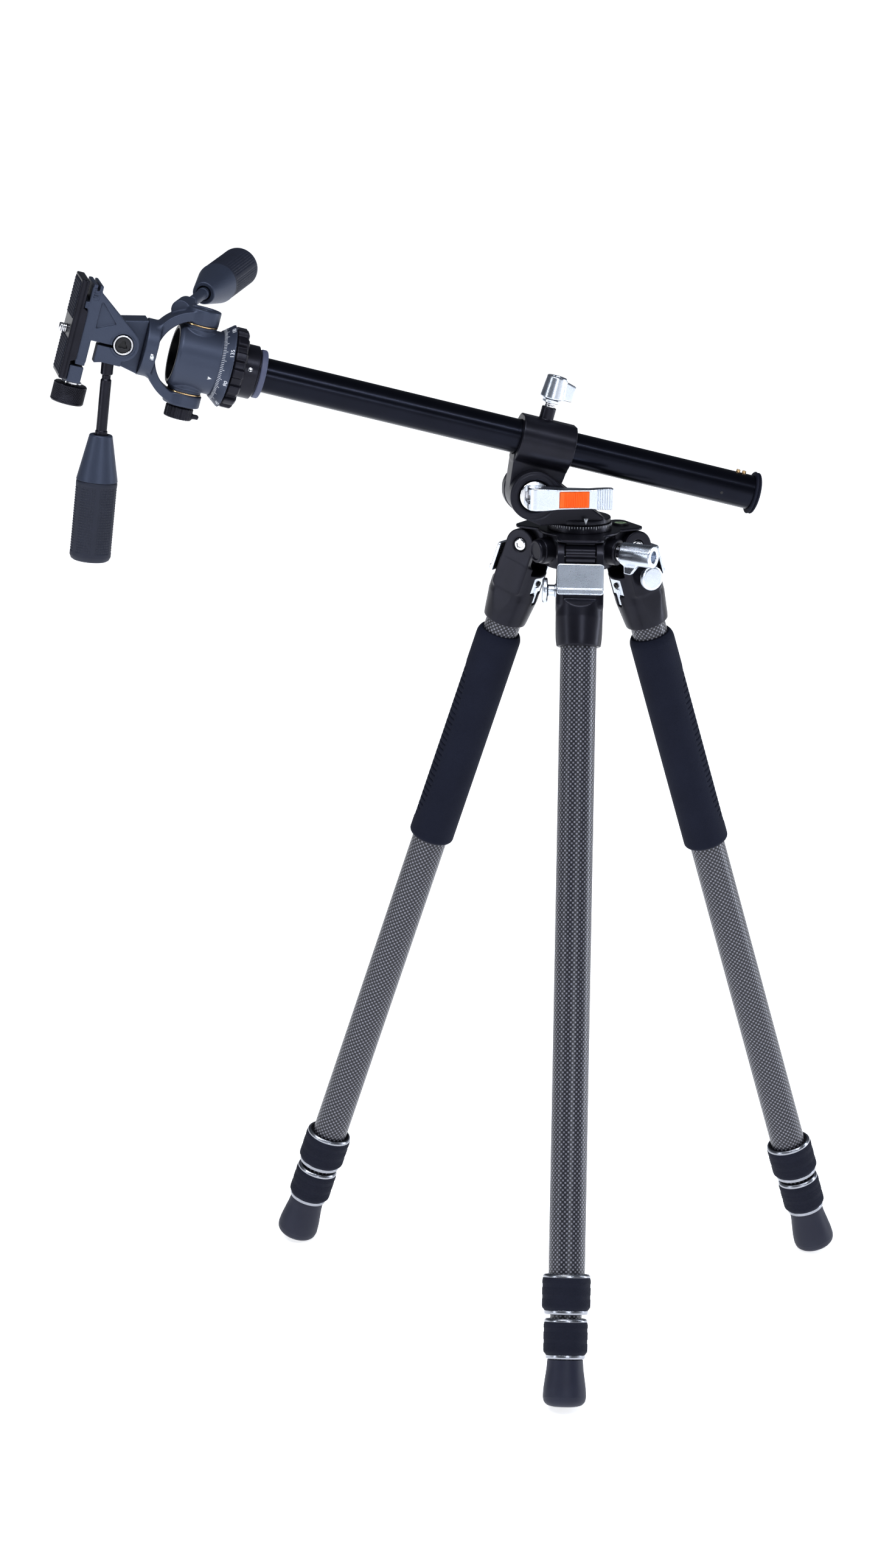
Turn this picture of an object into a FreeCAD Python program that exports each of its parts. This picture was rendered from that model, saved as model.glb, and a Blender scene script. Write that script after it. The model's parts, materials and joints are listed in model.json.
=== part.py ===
"""Tripod with a swinging centre column and a three-way head, its legs closed to their shortest.

Three kinds of place are used. The apex stands at the height of the leg hinges with +Z up. A leg hangs
from its hinge, with the leg along -Z and +X outwards. A piece on the column has +Z along the column
towards the head, +X up from it, and its zero in the middle of the collar.
"""

import FreeCAD, Part
import math
import os
import re

import Sketcher
from FreeCAD import Placement, Rotation, Vector

SIZES = {
    # fits
    "clearance": 0.3,
    "running_fit": 0.05,
    # legs: places are distances along the leg from its hinge
    "hinge_circle": 40.0,
    "leg_spread": 18.7,
    "leg_length": 606.0,
    "tube_wall": 1.3,
    "tube_step": 1.75,
    "tube_radius": 13.0,
    "casting_width": 34.0,
    "casting_length": 64.0,
    "casting_foot_wall": 2.8,
    "ear_radius": 11.5,
    "lug_width": 22.0,
    "slot_depth": 20.0,
    "socket_depth": 30.0,
    "bolt_radius": 3.0,
    "bolt_head_radius": 4.9,
    "bolt_head_depth": 1.8,
    "grip_top": 74.0,
    "grip_length": 174.0,
    "grip_thick": 3.75,
    "grip_end_ease": 2.0,
    "grip_shoulder": 10.0,
    "stud_drop": 23.6,
    "stud_radius": 4.25,
    "stud_head_radius": 9.1,
    "stud_reach": 10.0,
    "stud_head_thick": 4.0,
    "tab_width": 33.4,
    "tab_height": 22.4,
    "tab_drop": 6.0,
    "tab_seat": 14.2,
    "tab_thick": 3.2,
    "tongue_width": 10.0,
    "tongue_thick": 5.0,
    "tongue_drop": 2.0,
    "tongue_reach": 3.0,
    "lock_one_rise": 94.0,
    "lock_one_wall": 4.1,
    "lock_two_rise": 62.6,
    "lock_two_wall": 4.3,
    "lock_length": 28.6,
    "lock_recess": 12.0,
    "tube_end_gap": 0.5,
    "lock_ring_height": 3.2,
    "lock_ring_inset": 1.0,
    "bush_length": 12.0,
    "middle_tube_top": 84.0,
    "lower_tube_top": 98.0,
    "foot_height": 33.6,
    "foot_neck_wall": 3.2,
    "foot_flare": 2.8,
    "foot_bore_depth": 22.0,
    # canopy and what stands on it: heights from the leg hinges
    "hub_radius": 25.0,
    "hub_drop": 13.0,
    "plate_height": 12.2,
    "plate_thick": 2.0,
    "plate_reach": 46.0,
    "plate_corner": 6.0,
    "boss_radius": 9.5,
    "boss_reach": 33.0,
    "ring_radius": 23.3,
    "ring_height": 5.5,
    "level_radius": 6.0,
    "level_height": 1.6,
    "level_reach": 35.0,
    "plug_radius": 8.5,
    "plug_length": 4.0,
    "knob_radius": 8.25,
    "knob_length": 28.5,
    "knob_collar_radius": 6.8,
    "knob_collar_length": 3.0,
    "wing_reach": 15.0,
    "wing_thick": 5.0,
    # swivel base and knuckle
    "swivel_yaw": 10.0,
    "swivel_radius": 22.5,
    "swivel_disc_height": 3.4,
    "knuckle_reach": 37.0,
    "knuckle_height": 41.5,
    "knuckle_radius": 18.0,
    "knuckle_width": 36.0,
    "fork_gap": 18.0,
    "fork_swing": 33.0,
    "ramp_reach": 21.0,
    "ramp_back": 33.0,
    "axle_radius": 5.0,
    "nut_radius": 9.0,
    "nut_thick": 4.0,
    "washer_radius": 11.0,
    "washer_recess": 3.0,
    "eye_radius": 5.0,
    "eye_height": 5.4,
    "eye_reach": 8.0,
    "cam_pin_radius": 1.9,
    "cam_radius": 7.0,
    "lever_height": 16.5,
    "lever_reach": 55.7,
    "lever_tip_radius": 3.0,
    "lever_pad_start": 15.4,
    "lever_pad_length": 21.3,
    "lever_pad_height": 11.4,
    "lever_pad_thick": 2.0,
    # collar and column
    "column_tilt": 14.0,
    "column_radius": 12.5,
    "column_wall": 1.5,
    "column_tail": 159.0,
    "column_nose": 212.0,
    "collar_length": 40.0,
    "collar_radius": 18.0,
    "collar_flat": 17.0,
    "tongue_radius": 17.5,
    "stem_radius": 5.25,
    "stem_top": 26.0,
    "stem_place": 3.0,
    "collar_knob_radius": 8.75,
    "collar_knob_length": 22.6,
    "collar_knob_neck": 3.2,
    "neck_radius": 3.6,
    "cap_radius": 15.5,
    "cap_thick": 4.4,
    "cap_plug_length": 9.0,
    # head: lengths along the column from its nose
    "base_ring_radius": 17.5,
    "base_ring_length": 4.5,
    "base_radius": 19.25,
    "base_length": 12.0,
    "column_seat": 10.0,
    "spindle_radius": 14.0,
    "spindle_length": 22.0,
    "lock_ring_radius": 29.0,
    "lock_ring_length": 9.5,
    "lock_ring_lobes": 14.0,
    "lobe_notch_radius": 3.2,
    "pan_scale_flare": 7.25,
    "pan_scale_length": 8.3,
    "pan_radius": 22.75,
    "pan_length": 31.0,
    "pan_mouth_wall": 4.25,
    "pan_mouth_depth": 7.0,
    "trunnion_radius": 12.0,
    "trunnion_proud": 1.55,
    "tilt_axle_radius": 5.0,
    "tilt_place": 16.8,
    "pad_gap": 0.9,
    "upper_pad_radius": 12.5,
    "upper_pad_height": 11.0,
    "lower_pad_radius": 13.3,
    "lower_pad_height": 9.0,
    "yoke_gap": 4.95,
    "yoke_thick": 6.8,
    "yoke_width": 22.0,
    "flange_radius": 20.5,
    "flange_length": 5.0,
    "tilt_knob_radius": 10.0,
    "tilt_knob_length": 9.5,
    "roll_place": 53.0,
    "drum_radius": 15.5,
    "drum_back": 18.0,
    "drum_front": 7.7,
    "roll_axle_radius": 5.0,
    "roll_ring_radius": 7.2,
    "roll_ring_proud": 1.2,
    "lug_radius": 11.7,
    "lug_thick": 12.0,
    "deck_start": 23.0,
    "deck_length": 7.0,
    "deck_top": 37.0,
    "deck_bottom": 21.0,
    "deck_width": 40.0,
    "clamp_block_drop": 15.6,
    "clamp_block_front": 17.5,
    "clamp_slit": 1.8,
    "slit_place": 3.0,
    "gusset_margin": 3.0,
    "dovetail_top": 19.0,
    "dovetail_bottom": 19.5,
    "dovetail_thick": 3.2,
    "jaw_height": 12.0,
    "jaw_open": 1.2,
    "camera_plate_length": 71.5,
    "camera_plate_rise": 38.5,
    "camera_plate_thick": 6.3,
    "camera_plate_width": 42.0,
    "screw_radius": 3.175,
    "screw_neck_radius": 2.6,
    "screw_proud": 5.0,
    "screw_head_radius": 7.0,
    "screw_head_thick": 2.4,
    "clamp_knob_radius": 12.0,
    "clamp_knob_length": 14.0,
    "clamp_shaft_radius": 3.0,
    "clamp_shaft_gap": 3.2,
    # handles
    "rod_radius": 4.4,
    "rod_seat": 10.0,
    "side_rod_length": 51.5,
    "tilt_rod_length": 40.0,
    "handle_cone_radius": 8.3,
    "handle_radius": 14.85,
    "handle_cone_length": 33.0,
    "handle_length": 90.7,
    "handle_bore_depth": 26.0,
    "handle_boss_radius": 7.2,
    "tilt_handle_swing": 22.5,
    "tilt_handle_tip": 10.0,
    "tilt_handle_rise": 31.0,
    "tilt_handle_place": 16.6,
    "tilt_handle_start": 15.0,
    "side_handle_lean": 9.0,
    "side_handle_place": 9.2,
}

LEGS = {"front": -90.0, "left": 150.0, "right": 30.0}
FOAM_GRIPS = ("left", "right")
KNOB_AZIMUTH = -30.0
PLUG_AZIMUTH = -150.0
LEVEL_AZIMUTH = 30.0

ALONG_X = Rotation(Vector(0, 1, 0), 90)
ALONG_Y = Rotation(Vector(1, 0, 0), -90)
ALONG_Z = Rotation()

doc = FreeCAD.newDocument("Tripod")
sheet = doc.addObject("Spreadsheet::Sheet", "sizes")
for row, (alias, value) in enumerate(SIZES.items(), 1):
    sheet.set(f"A{row}", alias)
    sheet.set(f"B{row}", str(value))
    sheet.setAlias(f"B{row}", alias)
doc.recompute()
pieces = []


def bound(expression):
    """The expression with each alias written as a reference to the sheet."""
    return re.sub(r"[a-z]\w*", lambda word: "sizes." + word[0] if word[0] in SIZES else word[0], expression)


def size(expression):
    """What the expression comes to, in millimetres or degrees."""
    return float(sheet.evalExpression(expression))


def drive(item, **fields):
    """Ties fields of an object to expressions on the sheet."""
    for field, expression in fields.items():
        item.setExpression(field, bound(expression))
    return item


def piece(label, item, place=Placement()):
    """Names a finished sub-part and puts it where it belongs."""
    item.Label = label
    item.Placement = place.multiply(item.Placement)
    pieces.append(item)
    return item


def rod(radius, low, high, turn=ALONG_Z, at=(0, 0, 0)):
    """A cylinder between two distances along the turned axis, which passes through a point."""
    item = doc.addObject("Part::Cylinder", "rod")
    drive(item, Radius=radius, Height=f"({high}) - ({low})")
    item.Placement = Placement(Vector(*at), turn).multiply(Placement(Vector(0, 0, size(low)), ALONG_Z))
    return item


def block(x, y, z):
    """A box between pairs of distances along the three axes."""
    item = doc.addObject("Part::Box", "block")
    drive(item, Length=f"({x[1]}) - ({x[0]})", Width=f"({y[1]}) - ({y[0]})", Height=f"({z[1]}) - ({z[0]})")
    item.Placement.Base = Vector(size(x[0]), size(y[0]), size(z[0]))
    return item


def fuse(*items):
    whole = doc.addObject("Part::MultiFuse", "whole")
    whole.Shapes = list(items)
    whole.Refine = True
    return whole


def cut(base, *tools):
    for tool in tools:
        left = doc.addObject("Part::Cut", "left")
        left.Base, left.Tool = base, tool
        base = left
    base.Refine = True
    return base


def common(one, other):
    shared = doc.addObject("Part::Common", "shared")
    shared.Base, shared.Tool = one, other
    return shared


def group(*items):
    """Separate solids that share one name."""
    together = doc.addObject("Part::Compound", "together")
    together.Links = list(items)
    return together


def turned(profile):
    """A body revolved about Z from the corners of its half section, each a radius and a height."""
    body = doc.addObject("PartDesign::Body", "turned")
    plane = next(o for o in body.Origin.OriginFeatures if o.Role == "XZ_Plane")
    sketch = body.newObject("Sketcher::SketchObject", "profile")
    sketch.AttachmentSupport = [(plane, "")]
    sketch.MapMode = "FlatFace"
    corners = [Vector(size(radius), size(height), 0) for radius, height in profile]
    for n, corner in enumerate(corners):
        sketch.addGeometry(Part.LineSegment(corner, corners[(n + 1) % len(corners)]), False)
    for n in range(len(corners)):
        sketch.addConstraint(Sketcher.Constraint("Coincident", n, 2, (n + 1) % len(corners), 1))
    for n, (radius, height) in enumerate(profile):
        if corners[n].x:
            across = sketch.addConstraint(Sketcher.Constraint("DistanceX", -1, 1, n, 1, corners[n].x))
            sketch.setExpression(f"Constraints[{across}]", bound(radius))
        else:
            sketch.addConstraint(Sketcher.Constraint("PointOnObject", n, 1, -2))
        if corners[n].y:
            along = sketch.addConstraint(Sketcher.Constraint("DistanceY", -1, 1, n, 1, corners[n].y))
            sketch.setExpression(f"Constraints[{along}]", bound(height))
        else:
            sketch.addConstraint(Sketcher.Constraint("PointOnObject", n, 1, -1))
    turn = body.newObject("PartDesign::Revolution", "turn")
    turn.Profile = sketch
    turn.ReferenceAxis = (sketch, ["V_Axis"])
    turn.Angle = 360.0
    body.Tip = turn
    return body


def tube(radius, bore, low, high):
    return turned([(bore, low), (radius, low), (radius, high), (bore, high)])


def web(circles, low, high, turn=Rotation()):
    """A plate whose outline is the tight band round circles, taken anticlockwise; each is x, y, radius."""
    rounds = [(Vector(size(x), size(y), 0), size(radius)) for x, y, radius in circles]
    normals = []
    for (start, first), (end, second) in zip(rounds, rounds[1:] + rounds[:1]):
        run = end - start
        lean = math.asin((first - second) / run.Length)
        ahead = run.normalize()
        normals.append(ahead * math.sin(lean) + Vector(ahead.y, -ahead.x, 0) * math.cos(lean))
    edges = []
    for n, (centre, radius) in enumerate(rounds):
        before, after = normals[n - 1], normals[n]
        if radius:
            sweep = math.atan2(before.cross(after).z, before.dot(after)) % (2 * math.pi)
            middle = Rotation(Vector(0, 0, 1), math.degrees(sweep / 2)).multVec(before)
            arc = Part.Arc(*(centre + way * radius for way in (before, middle, after)))
            edges.append(arc.toShape())
        following, reach = rounds[(n + 1) % len(rounds)]
        edges.append(Part.LineSegment(centre + after * radius, following + after * reach).toShape())
    face = Part.Face(Part.Wire(edges))
    face.translate(Vector(0, 0, size(low)))
    item = doc.addObject("Part::Feature", "web")
    item.Shape = face.extrude(Vector(0, 0, size(high) - size(low)))
    item.Placement = Placement(Vector(), turn)
    return item


# ---- places ----

def leg_place(azimuth):
    outwards = Placement(Vector(), Rotation(Vector(0, 0, 1), azimuth))
    hinge = Placement(Vector(size("hinge_circle"), 0, 0), Rotation(Vector(0, 1, 0), -size("leg_spread")))
    return outwards.multiply(hinge)


def arm_place(azimuth):
    return Placement(Vector(), Rotation(Vector(0, 0, 1), azimuth))


swivel = Placement(Vector(), Rotation(Vector(0, 0, 1), size("swivel_yaw")))
knuckle = swivel.multiply(Placement(Vector(-size("knuckle_reach"), 0, size("knuckle_height")), Rotation()))
column = knuckle.multiply(Placement(Vector(), Rotation(Vector(0, 1, 0), size("column_tilt") - 90.0)))
column = column.multiply(Placement(Vector(size("knuckle_reach"), 0, 0), Rotation()))
head = column.multiply(Placement(Vector(0, 0, size("column_nose")), Rotation()))
pan_start = "base_ring_length + base_length + lock_ring_length + 2*clearance"
tilt_centre = f"{pan_start} + pan_scale_length + tilt_place"
tilting = head.multiply(Placement(Vector(0, 0, size(tilt_centre)), Rotation()))
rolling = tilting.multiply(Placement(Vector(0, 0, size("roll_place")), Rotation()))

# ---- legs ----

middle_radius = "tube_radius - tube_step"
lower_radius = "tube_radius - 2*tube_step"
lock_one_top = "(leg_length - lock_one_rise)"
lock_two_top = "(leg_length - lock_two_rise)"
slot_half = "lug_width/2 + clearance"
wall_side = "casting_width/2"


def casting():
    """The leg's top: a round socket for the tube, with two ears that straddle the canopy's lug."""
    barrel = turned([
        ("0", "-casting_length"),
        ("tube_radius + casting_foot_wall", "-casting_length"),
        ("casting_width/2", "-casting_length + 22"),
        ("casting_width/2", "-slot_depth - 6"),
        ("ear_radius", "-slot_depth + 4"),
        ("0", "-slot_depth + 4"),
    ])
    ears = block(("-ear_radius", "ear_radius"), (f"-{wall_side}", wall_side), ("-slot_depth - 14", "0"))
    tops = rod("ear_radius", f"-{wall_side}", wall_side, ALONG_Y)
    channel_half = "tongue_width/2 + clearance"
    return cut(
        fuse(barrel, ears, tops),
        block(("-casting_width", "casting_width"), (f"-({slot_half})", slot_half), ("-slot_depth", "casting_width")),
        rod("tube_radius", "-casting_length - 1", "-casting_length + socket_depth"),
        rod("bolt_radius + running_fit", "-casting_width", "casting_width", ALONG_Y),
        rod("bolt_head_radius + clearance", f"{wall_side} - bolt_head_depth - clearance", "casting_width", ALONG_Y),
        rod("bolt_head_radius + clearance", "-casting_width", f"-{wall_side} + bolt_head_depth + clearance", ALONG_Y),
        block(("tab_seat", "casting_width"), ("-casting_width", "casting_width"),
              ("-tab_drop - tab_height - 2", "casting_width")),
        block(("-tongue_reach - clearance", "casting_width"), (f"-({channel_half})", channel_half),
              ("-slot_depth - tongue_drop - tongue_thick - clearance", "-slot_depth - tongue_drop + clearance")),
    )


def angle_latch():
    """The pull tab on the leg's outer face, with the tongue that locks into the lug."""
    tab = block(("tab_seat + clearance", "tab_seat + clearance + tab_thick"), ("-tab_width/2", "tab_width/2"),
                ("-tab_drop - tab_height", "-tab_drop"))
    tongue = block(("-tongue_reach", "tab_seat + clearance + tab_thick/2"), ("-tongue_width/2", "tongue_width/2"),
                   ("-slot_depth - tongue_drop - tongue_thick", "-slot_depth - tongue_drop"))
    return fuse(tab, tongue)


def strap_stud():
    """A mushroom stud on the side of the casting, for a strap or a bag."""
    stem = rod("stud_radius", f"-({wall_side}) - stud_reach + stud_head_thick", f"-({wall_side})", ALONG_Y)
    disc = rod("stud_head_radius", f"-({wall_side}) - stud_reach", f"-({wall_side}) - stud_reach + stud_head_thick",
               ALONG_Y)
    stud = fuse(stem, disc)
    stud.Placement.Base = Vector(0, 0, -size("stud_drop"))
    return stud


def twist_lock(radius, outer_tube, inner_tube, top):
    """A threaded ring that closes a collet on the thinner tube; the thicker tube ends inside it."""
    ring = f"{radius} - lock_ring_inset"
    end = f"-{top} - lock_length"
    return turned([
        (f"{inner_tube} + clearance", end),
        (ring, end),
        (ring, f"{end} + lock_ring_height"),
        (radius, f"{end} + lock_ring_height"),
        (radius, f"-{top} - lock_ring_height"),
        (ring, f"-{top} - lock_ring_height"),
        (ring, f"-{top}"),
        (f"{outer_tube} + clearance", f"-{top}"),
        (f"{outer_tube} + clearance", f"-{top} - lock_recess"),
        (f"{inner_tube} + clearance", f"-{top} - lock_recess"),
    ])


def sliding_tube(radius, top, end):
    """A telescoping tube and the bush round its top, which runs in the tube above."""
    bush = tube(f"{radius} + tube_step - tube_wall - running_fit", radius, f"-{top} - bush_length", f"-{top}")
    return group(tube(radius, f"{radius} - tube_wall", f"-({end})", f"-{top}"), bush)


def foot():
    """A flared rubber foot pushed over the end of the lowest tube."""
    sole = f"{lower_radius} + foot_neck_wall + foot_flare"
    return turned([
        ("0", "-leg_length"),
        (f"{sole} - 4", "-leg_length"),
        (f"{sole} - 1", "-leg_length + 2.5"),
        (sole, "-leg_length + 7"),
        (f"{sole} - 0.6", "-leg_length + 12"),
        (f"{lower_radius} + foot_neck_wall", "-leg_length + foot_height"),
        (lower_radius, "-leg_length + foot_height"),
        (lower_radius, "-leg_length + foot_height - foot_bore_depth"),
        ("0", "-leg_length + foot_height - foot_bore_depth"),
    ])


def foam_grip():
    """A foam sleeve on the upper tube, with a softer shoulder at its top."""
    return turned([
        ("tube_radius", "-grip_top - grip_length"),
        ("tube_radius + 0.75*grip_thick", "-grip_top - grip_length"),
        ("tube_radius + grip_thick", "-grip_top - grip_length + grip_end_ease"),
        ("tube_radius + grip_thick", "-grip_top - grip_shoulder"),
        ("tube_radius + 0.6*grip_thick", "-grip_top"),
        ("tube_radius", "-grip_top"),
    ])


for leg, azimuth in LEGS.items():
    here = leg_place(azimuth)
    piece(f"{leg}_leg_casting", casting(), here)
    piece(f"{leg}_angle_latch", angle_latch(), here)
    piece(f"{leg}_strap_stud", strap_stud(), here)
    piece(f"{leg}_upper_tube",
          tube("tube_radius", "tube_radius - tube_wall", f"-{lock_one_top} - lock_recess + tube_end_gap",
               "-casting_length + socket_depth"), here)
    if leg in FOAM_GRIPS:
        piece(f"{leg}_foam_grip", foam_grip(), here)
    piece(f"{leg}_upper_lock",
          twist_lock("tube_radius + lock_one_wall", "tube_radius", middle_radius, lock_one_top), here)
    piece(f"{leg}_middle_tube",
          sliding_tube(middle_radius, "middle_tube_top", f"{lock_two_top} + lock_recess - tube_end_gap"), here)
    piece(f"{leg}_lower_lock",
          twist_lock(f"{middle_radius} + lock_two_wall", middle_radius, lower_radius, lock_two_top), here)
    piece(f"{leg}_lower_tube",
          sliding_tube(lower_radius, "lower_tube_top", "leg_length - foot_height + foot_bore_depth"), here)
    piece(f"{leg}_foot", foot(), here)

# ---- apex ----

bore_radius = "column_radius + 0.7"
ring_top = "plate_height + plate_thick + ring_height"


def leg_arm(azimuth):
    """One arm of the canopy: a lug between a leg's ears, under the end of the top plate."""
    lug = fuse(
        block(("hub_radius - 5", "hinge_circle"), ("-lug_width/2", "lug_width/2"), ("-ear_radius", "plate_height")),
        rod("ear_radius", "-lug_width/2", "lug_width/2", ALONG_Y, (size("hinge_circle"), 0, 0)),
    )
    top = web([("0", "0", f"{wall_side}"),
               ("plate_reach - plate_corner", f"-{wall_side} + plate_corner", "plate_corner"),
               ("plate_reach - plate_corner", f"{wall_side} - plate_corner", "plate_corner")],
              "plate_height", "plate_height + plate_thick")
    hole = rod("bolt_radius", "-lug_width", "lug_width", ALONG_Y, (size("hinge_circle"), 0, 0))
    arm = cut(fuse(lug, top), hole)
    arm.Placement = arm_place(azimuth)
    return arm


def side_boss(azimuth):
    boss = rod("boss_radius", "0", "boss_reach", ALONG_X)
    boss.Placement = arm_place(azimuth).multiply(boss.Placement)
    return boss


def canopy():
    hub = rod("hub_radius", "-hub_drop", "plate_height")
    disc = rod("hub_radius + 5", "plate_height", "plate_height + plate_thick")
    arms = [leg_arm(azimuth) for azimuth in LEGS.values()]
    bosses = [side_boss(azimuth) for azimuth in (KNOB_AZIMUTH, PLUG_AZIMUTH)]
    return cut(fuse(hub, disc, *arms, *bosses), rod(bore_radius, "-2*hub_radius", "2*hub_radius"))


def winged_knob(radius, length, neck, neck_length, reach):
    """A knob that stands along +Z, with a finger wing towards +X."""
    grip = rod(radius, neck_length, length)
    stem = rod(neck, "0", neck_length)
    wing = block(("0", reach), ("-wing_thick/2", "wing_thick/2"), (f"{neck_length} + 4", f"{length} - 2"))
    return fuse(stem, grip, wing)


def leg_pivot_bolts():
    bolts = []
    for azimuth in LEGS.values():
        shank = rod("bolt_radius", f"-({wall_side}) + bolt_head_depth", f"{wall_side} - bolt_head_depth", ALONG_Y)
        heads = [rod("bolt_head_radius", *ends, ALONG_Y) for ends in (
            (f"-({wall_side}) + 0.2", f"-({wall_side}) + bolt_head_depth"),
            (f"{wall_side} - bolt_head_depth", f"{wall_side} - 0.2"))]
        bolt = fuse(shank, *heads)
        bolt.Placement = arm_place(azimuth).multiply(Placement(Vector(size("hinge_circle"), 0, 0), Rotation()))
        bolts.append(bolt)
    return group(*bolts)


piece("canopy", canopy())
piece("leg_pivot_bolts", leg_pivot_bolts())
piece("swivel_scale_ring", cut(rod("ring_radius", "plate_height + plate_thick", ring_top),
                               rod(bore_radius, "0", "2*hub_radius")))
piece("bubble_level", rod("level_radius", "0", "level_height"),
      arm_place(LEVEL_AZIMUTH).multiply(Placement(Vector(size("level_reach"), 0, size("plate_height + plate_thick")),
                                                  Rotation())))
piece("accessory_port_plug", rod("plug_radius", "boss_reach", "boss_reach + plug_length", ALONG_X),
      arm_place(PLUG_AZIMUTH))
knob_seat = Placement(Vector(size("boss_reach + clearance"), 0, 0), ALONG_X)
piece("canopy_lock_knob",
      winged_knob("knob_radius", "knob_length", "knob_collar_radius", "knob_collar_length", "wing_reach"),
      arm_place(KNOB_AZIMUTH).multiply(knob_seat))

# ---- swivel base ----

base_bottom = f"{ring_top} + clearance"


def swivel_base():
    """A disc on the scale ring that rises into a fork for the knuckle."""
    side = [("-knuckle_reach", "knuckle_height", "knuckle_radius"),
            ("-ramp_back", base_bottom, "0"),
            ("ramp_reach", base_bottom, "0")]
    wedge = web(side, "-knuckle_width/2", "knuckle_width/2", Rotation(Vector(1, 0, 0), 90))
    footprint = web([("-knuckle_reach - knuckle_radius", "knuckle_width/2", "0"),
                     ("-knuckle_reach - knuckle_radius", "-knuckle_width/2", "0"),
                     ("0", "0", "swivel_radius")], "0", "4*knuckle_height")
    disc = rod("swivel_radius", base_bottom, f"{base_bottom} + swivel_disc_height")
    pivot = (-size("knuckle_reach"), 0, size("knuckle_height"))
    gap = common(rod("fork_swing", "-fork_gap/2", "fork_gap/2", ALONG_Y, pivot),
                 block(("-3*knuckle_reach", "3*knuckle_reach"), ("-knuckle_width", "knuckle_width"),
                       (f"{base_bottom} + swivel_disc_height", "3*knuckle_height")))
    return cut(
        fuse(common(wedge, footprint), disc),
        gap,
        rod(bore_radius, "0", "4*knuckle_height"),
        rod("axle_radius", "-knuckle_width", "knuckle_width", ALONG_Y, pivot),
        rod("washer_radius + clearance", "-knuckle_width", "-knuckle_width/2 + washer_recess", ALONG_Y, pivot),
    )


def knuckle_axle():
    """An eye bolt through the fork, its washer and nut, and the pin that the cam lever turns on."""
    face = "-knuckle_width/2"
    eye_place = (0, -size("knuckle_width/2 + eye_reach"), 0)
    bolt = fuse(
        rod("axle_radius", f"{face} + washer_recess", "knuckle_width/2 + nut_thick", ALONG_Y),
        rod("nut_radius", "knuckle_width/2", "knuckle_width/2 + nut_thick", ALONG_Y),
        rod("washer_radius", f"{face} - 0.4", f"{face} + washer_recess", ALONG_Y),
        rod("eye_radius - 2.5", f"{face} - eye_reach", face, ALONG_Y),
        rod("eye_radius", "-eye_height/2", "eye_height/2", ALONG_Z, eye_place),
    )
    pin_ends = "lever_height/2 - 0.6"
    bolt = cut(bolt, rod("cam_pin_radius", "-eye_height", "eye_height", ALONG_Z, eye_place))
    return group(bolt, rod("cam_pin_radius", f"-({pin_ends})", pin_ends, ALONG_Z, eye_place))


def lever_pad(grow):
    """The grip insert in the lever's outer face, or its pocket."""
    face = "-cam_radius"
    return block(("lever_pad_start", "lever_pad_start + lever_pad_length"),
                 (f"{face} - {grow}", f"{face} + lever_pad_thick - 0.6"),
                 ("-lever_pad_height/2", "lever_pad_height/2"))


def lock_lever():
    """A cam lever: two cheeks round the eye, joined by a blade that lies along the fork."""
    blade = web([("0", "0", "cam_radius"), ("lever_reach - lever_tip_radius", "-cam_radius + lever_tip_radius",
                                            "lever_tip_radius")], "-lever_height/2", "lever_height/2")
    eye_room = "eye_height/2 + clearance"
    return cut(
        blade,
        rod("cam_radius + 1", f"-({eye_room})", eye_room),
        block(("-cam_radius - 1", "eye_radius"), ("-cam_radius/2", "cam_radius + 1"), (f"-({eye_room})", eye_room)),
        rod("cam_pin_radius + running_fit", "-lever_height", "lever_height"),
        lever_pad("1"),
    )


lever_place = knuckle.multiply(Placement(Vector(0, -size("knuckle_width/2 + eye_reach"), 0), Rotation()))
piece("swivel_base", swivel_base(), swivel)
piece("knuckle_axle", knuckle_axle(), knuckle)
piece("lock_lever", lock_lever(), lever_place)
piece("lever_grip_pad", lever_pad("0.4"), lever_place)

# ---- collar and column ----


def tilt_collar():
    """A collar for the column over a tongue that turns in the fork."""
    half = "collar_length/2"
    ring = cut(rod("collar_radius", f"-{half}", half),
               block(("collar_flat", "2*collar_radius"), ("-2*collar_radius", "2*collar_radius"),
                     ("-collar_length", "collar_length")))
    outline = [("-knuckle_reach", "0", "tongue_radius"),
               ("-column_radius", f"-{half}", "0"),
               ("-column_radius", half, "0")]
    tongue = web(outline, "-fork_gap/2 + clearance", "fork_gap/2 - clearance", Rotation(Vector(1, 0, 0), 90))
    stem = rod("stem_radius", "column_radius", "stem_top", ALONG_X, (0, 0, size("stem_place")))
    return cut(
        fuse(ring, tongue, stem),
        rod("column_radius + clearance", "-collar_length", "collar_length"),
        rod("axle_radius + running_fit", "-fork_gap", "fork_gap", ALONG_Y, (-size("knuckle_reach"), 0, 0)),
    )


def column_end_cap():
    """A flanged cap pushed into the tail of the column."""
    seat = "-column_tail"
    return turned([
        ("0", f"{seat} - cap_thick"),
        ("cap_radius - 0.8", f"{seat} - cap_thick"),
        ("cap_radius - 0.4", f"{seat} - cap_thick/2 - 0.4"),
        ("cap_radius - 1.6", f"{seat} - cap_thick/2 - 0.2"),
        ("cap_radius - 1.6", f"{seat} - cap_thick/2 + 0.2"),
        ("cap_radius", f"{seat} - cap_thick/2 + 0.4"),
        ("cap_radius", seat),
        ("column_radius - column_wall", seat),
        ("column_radius - column_wall", f"{seat} + cap_plug_length"),
        ("0", f"{seat} + cap_plug_length"),
    ])


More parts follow.
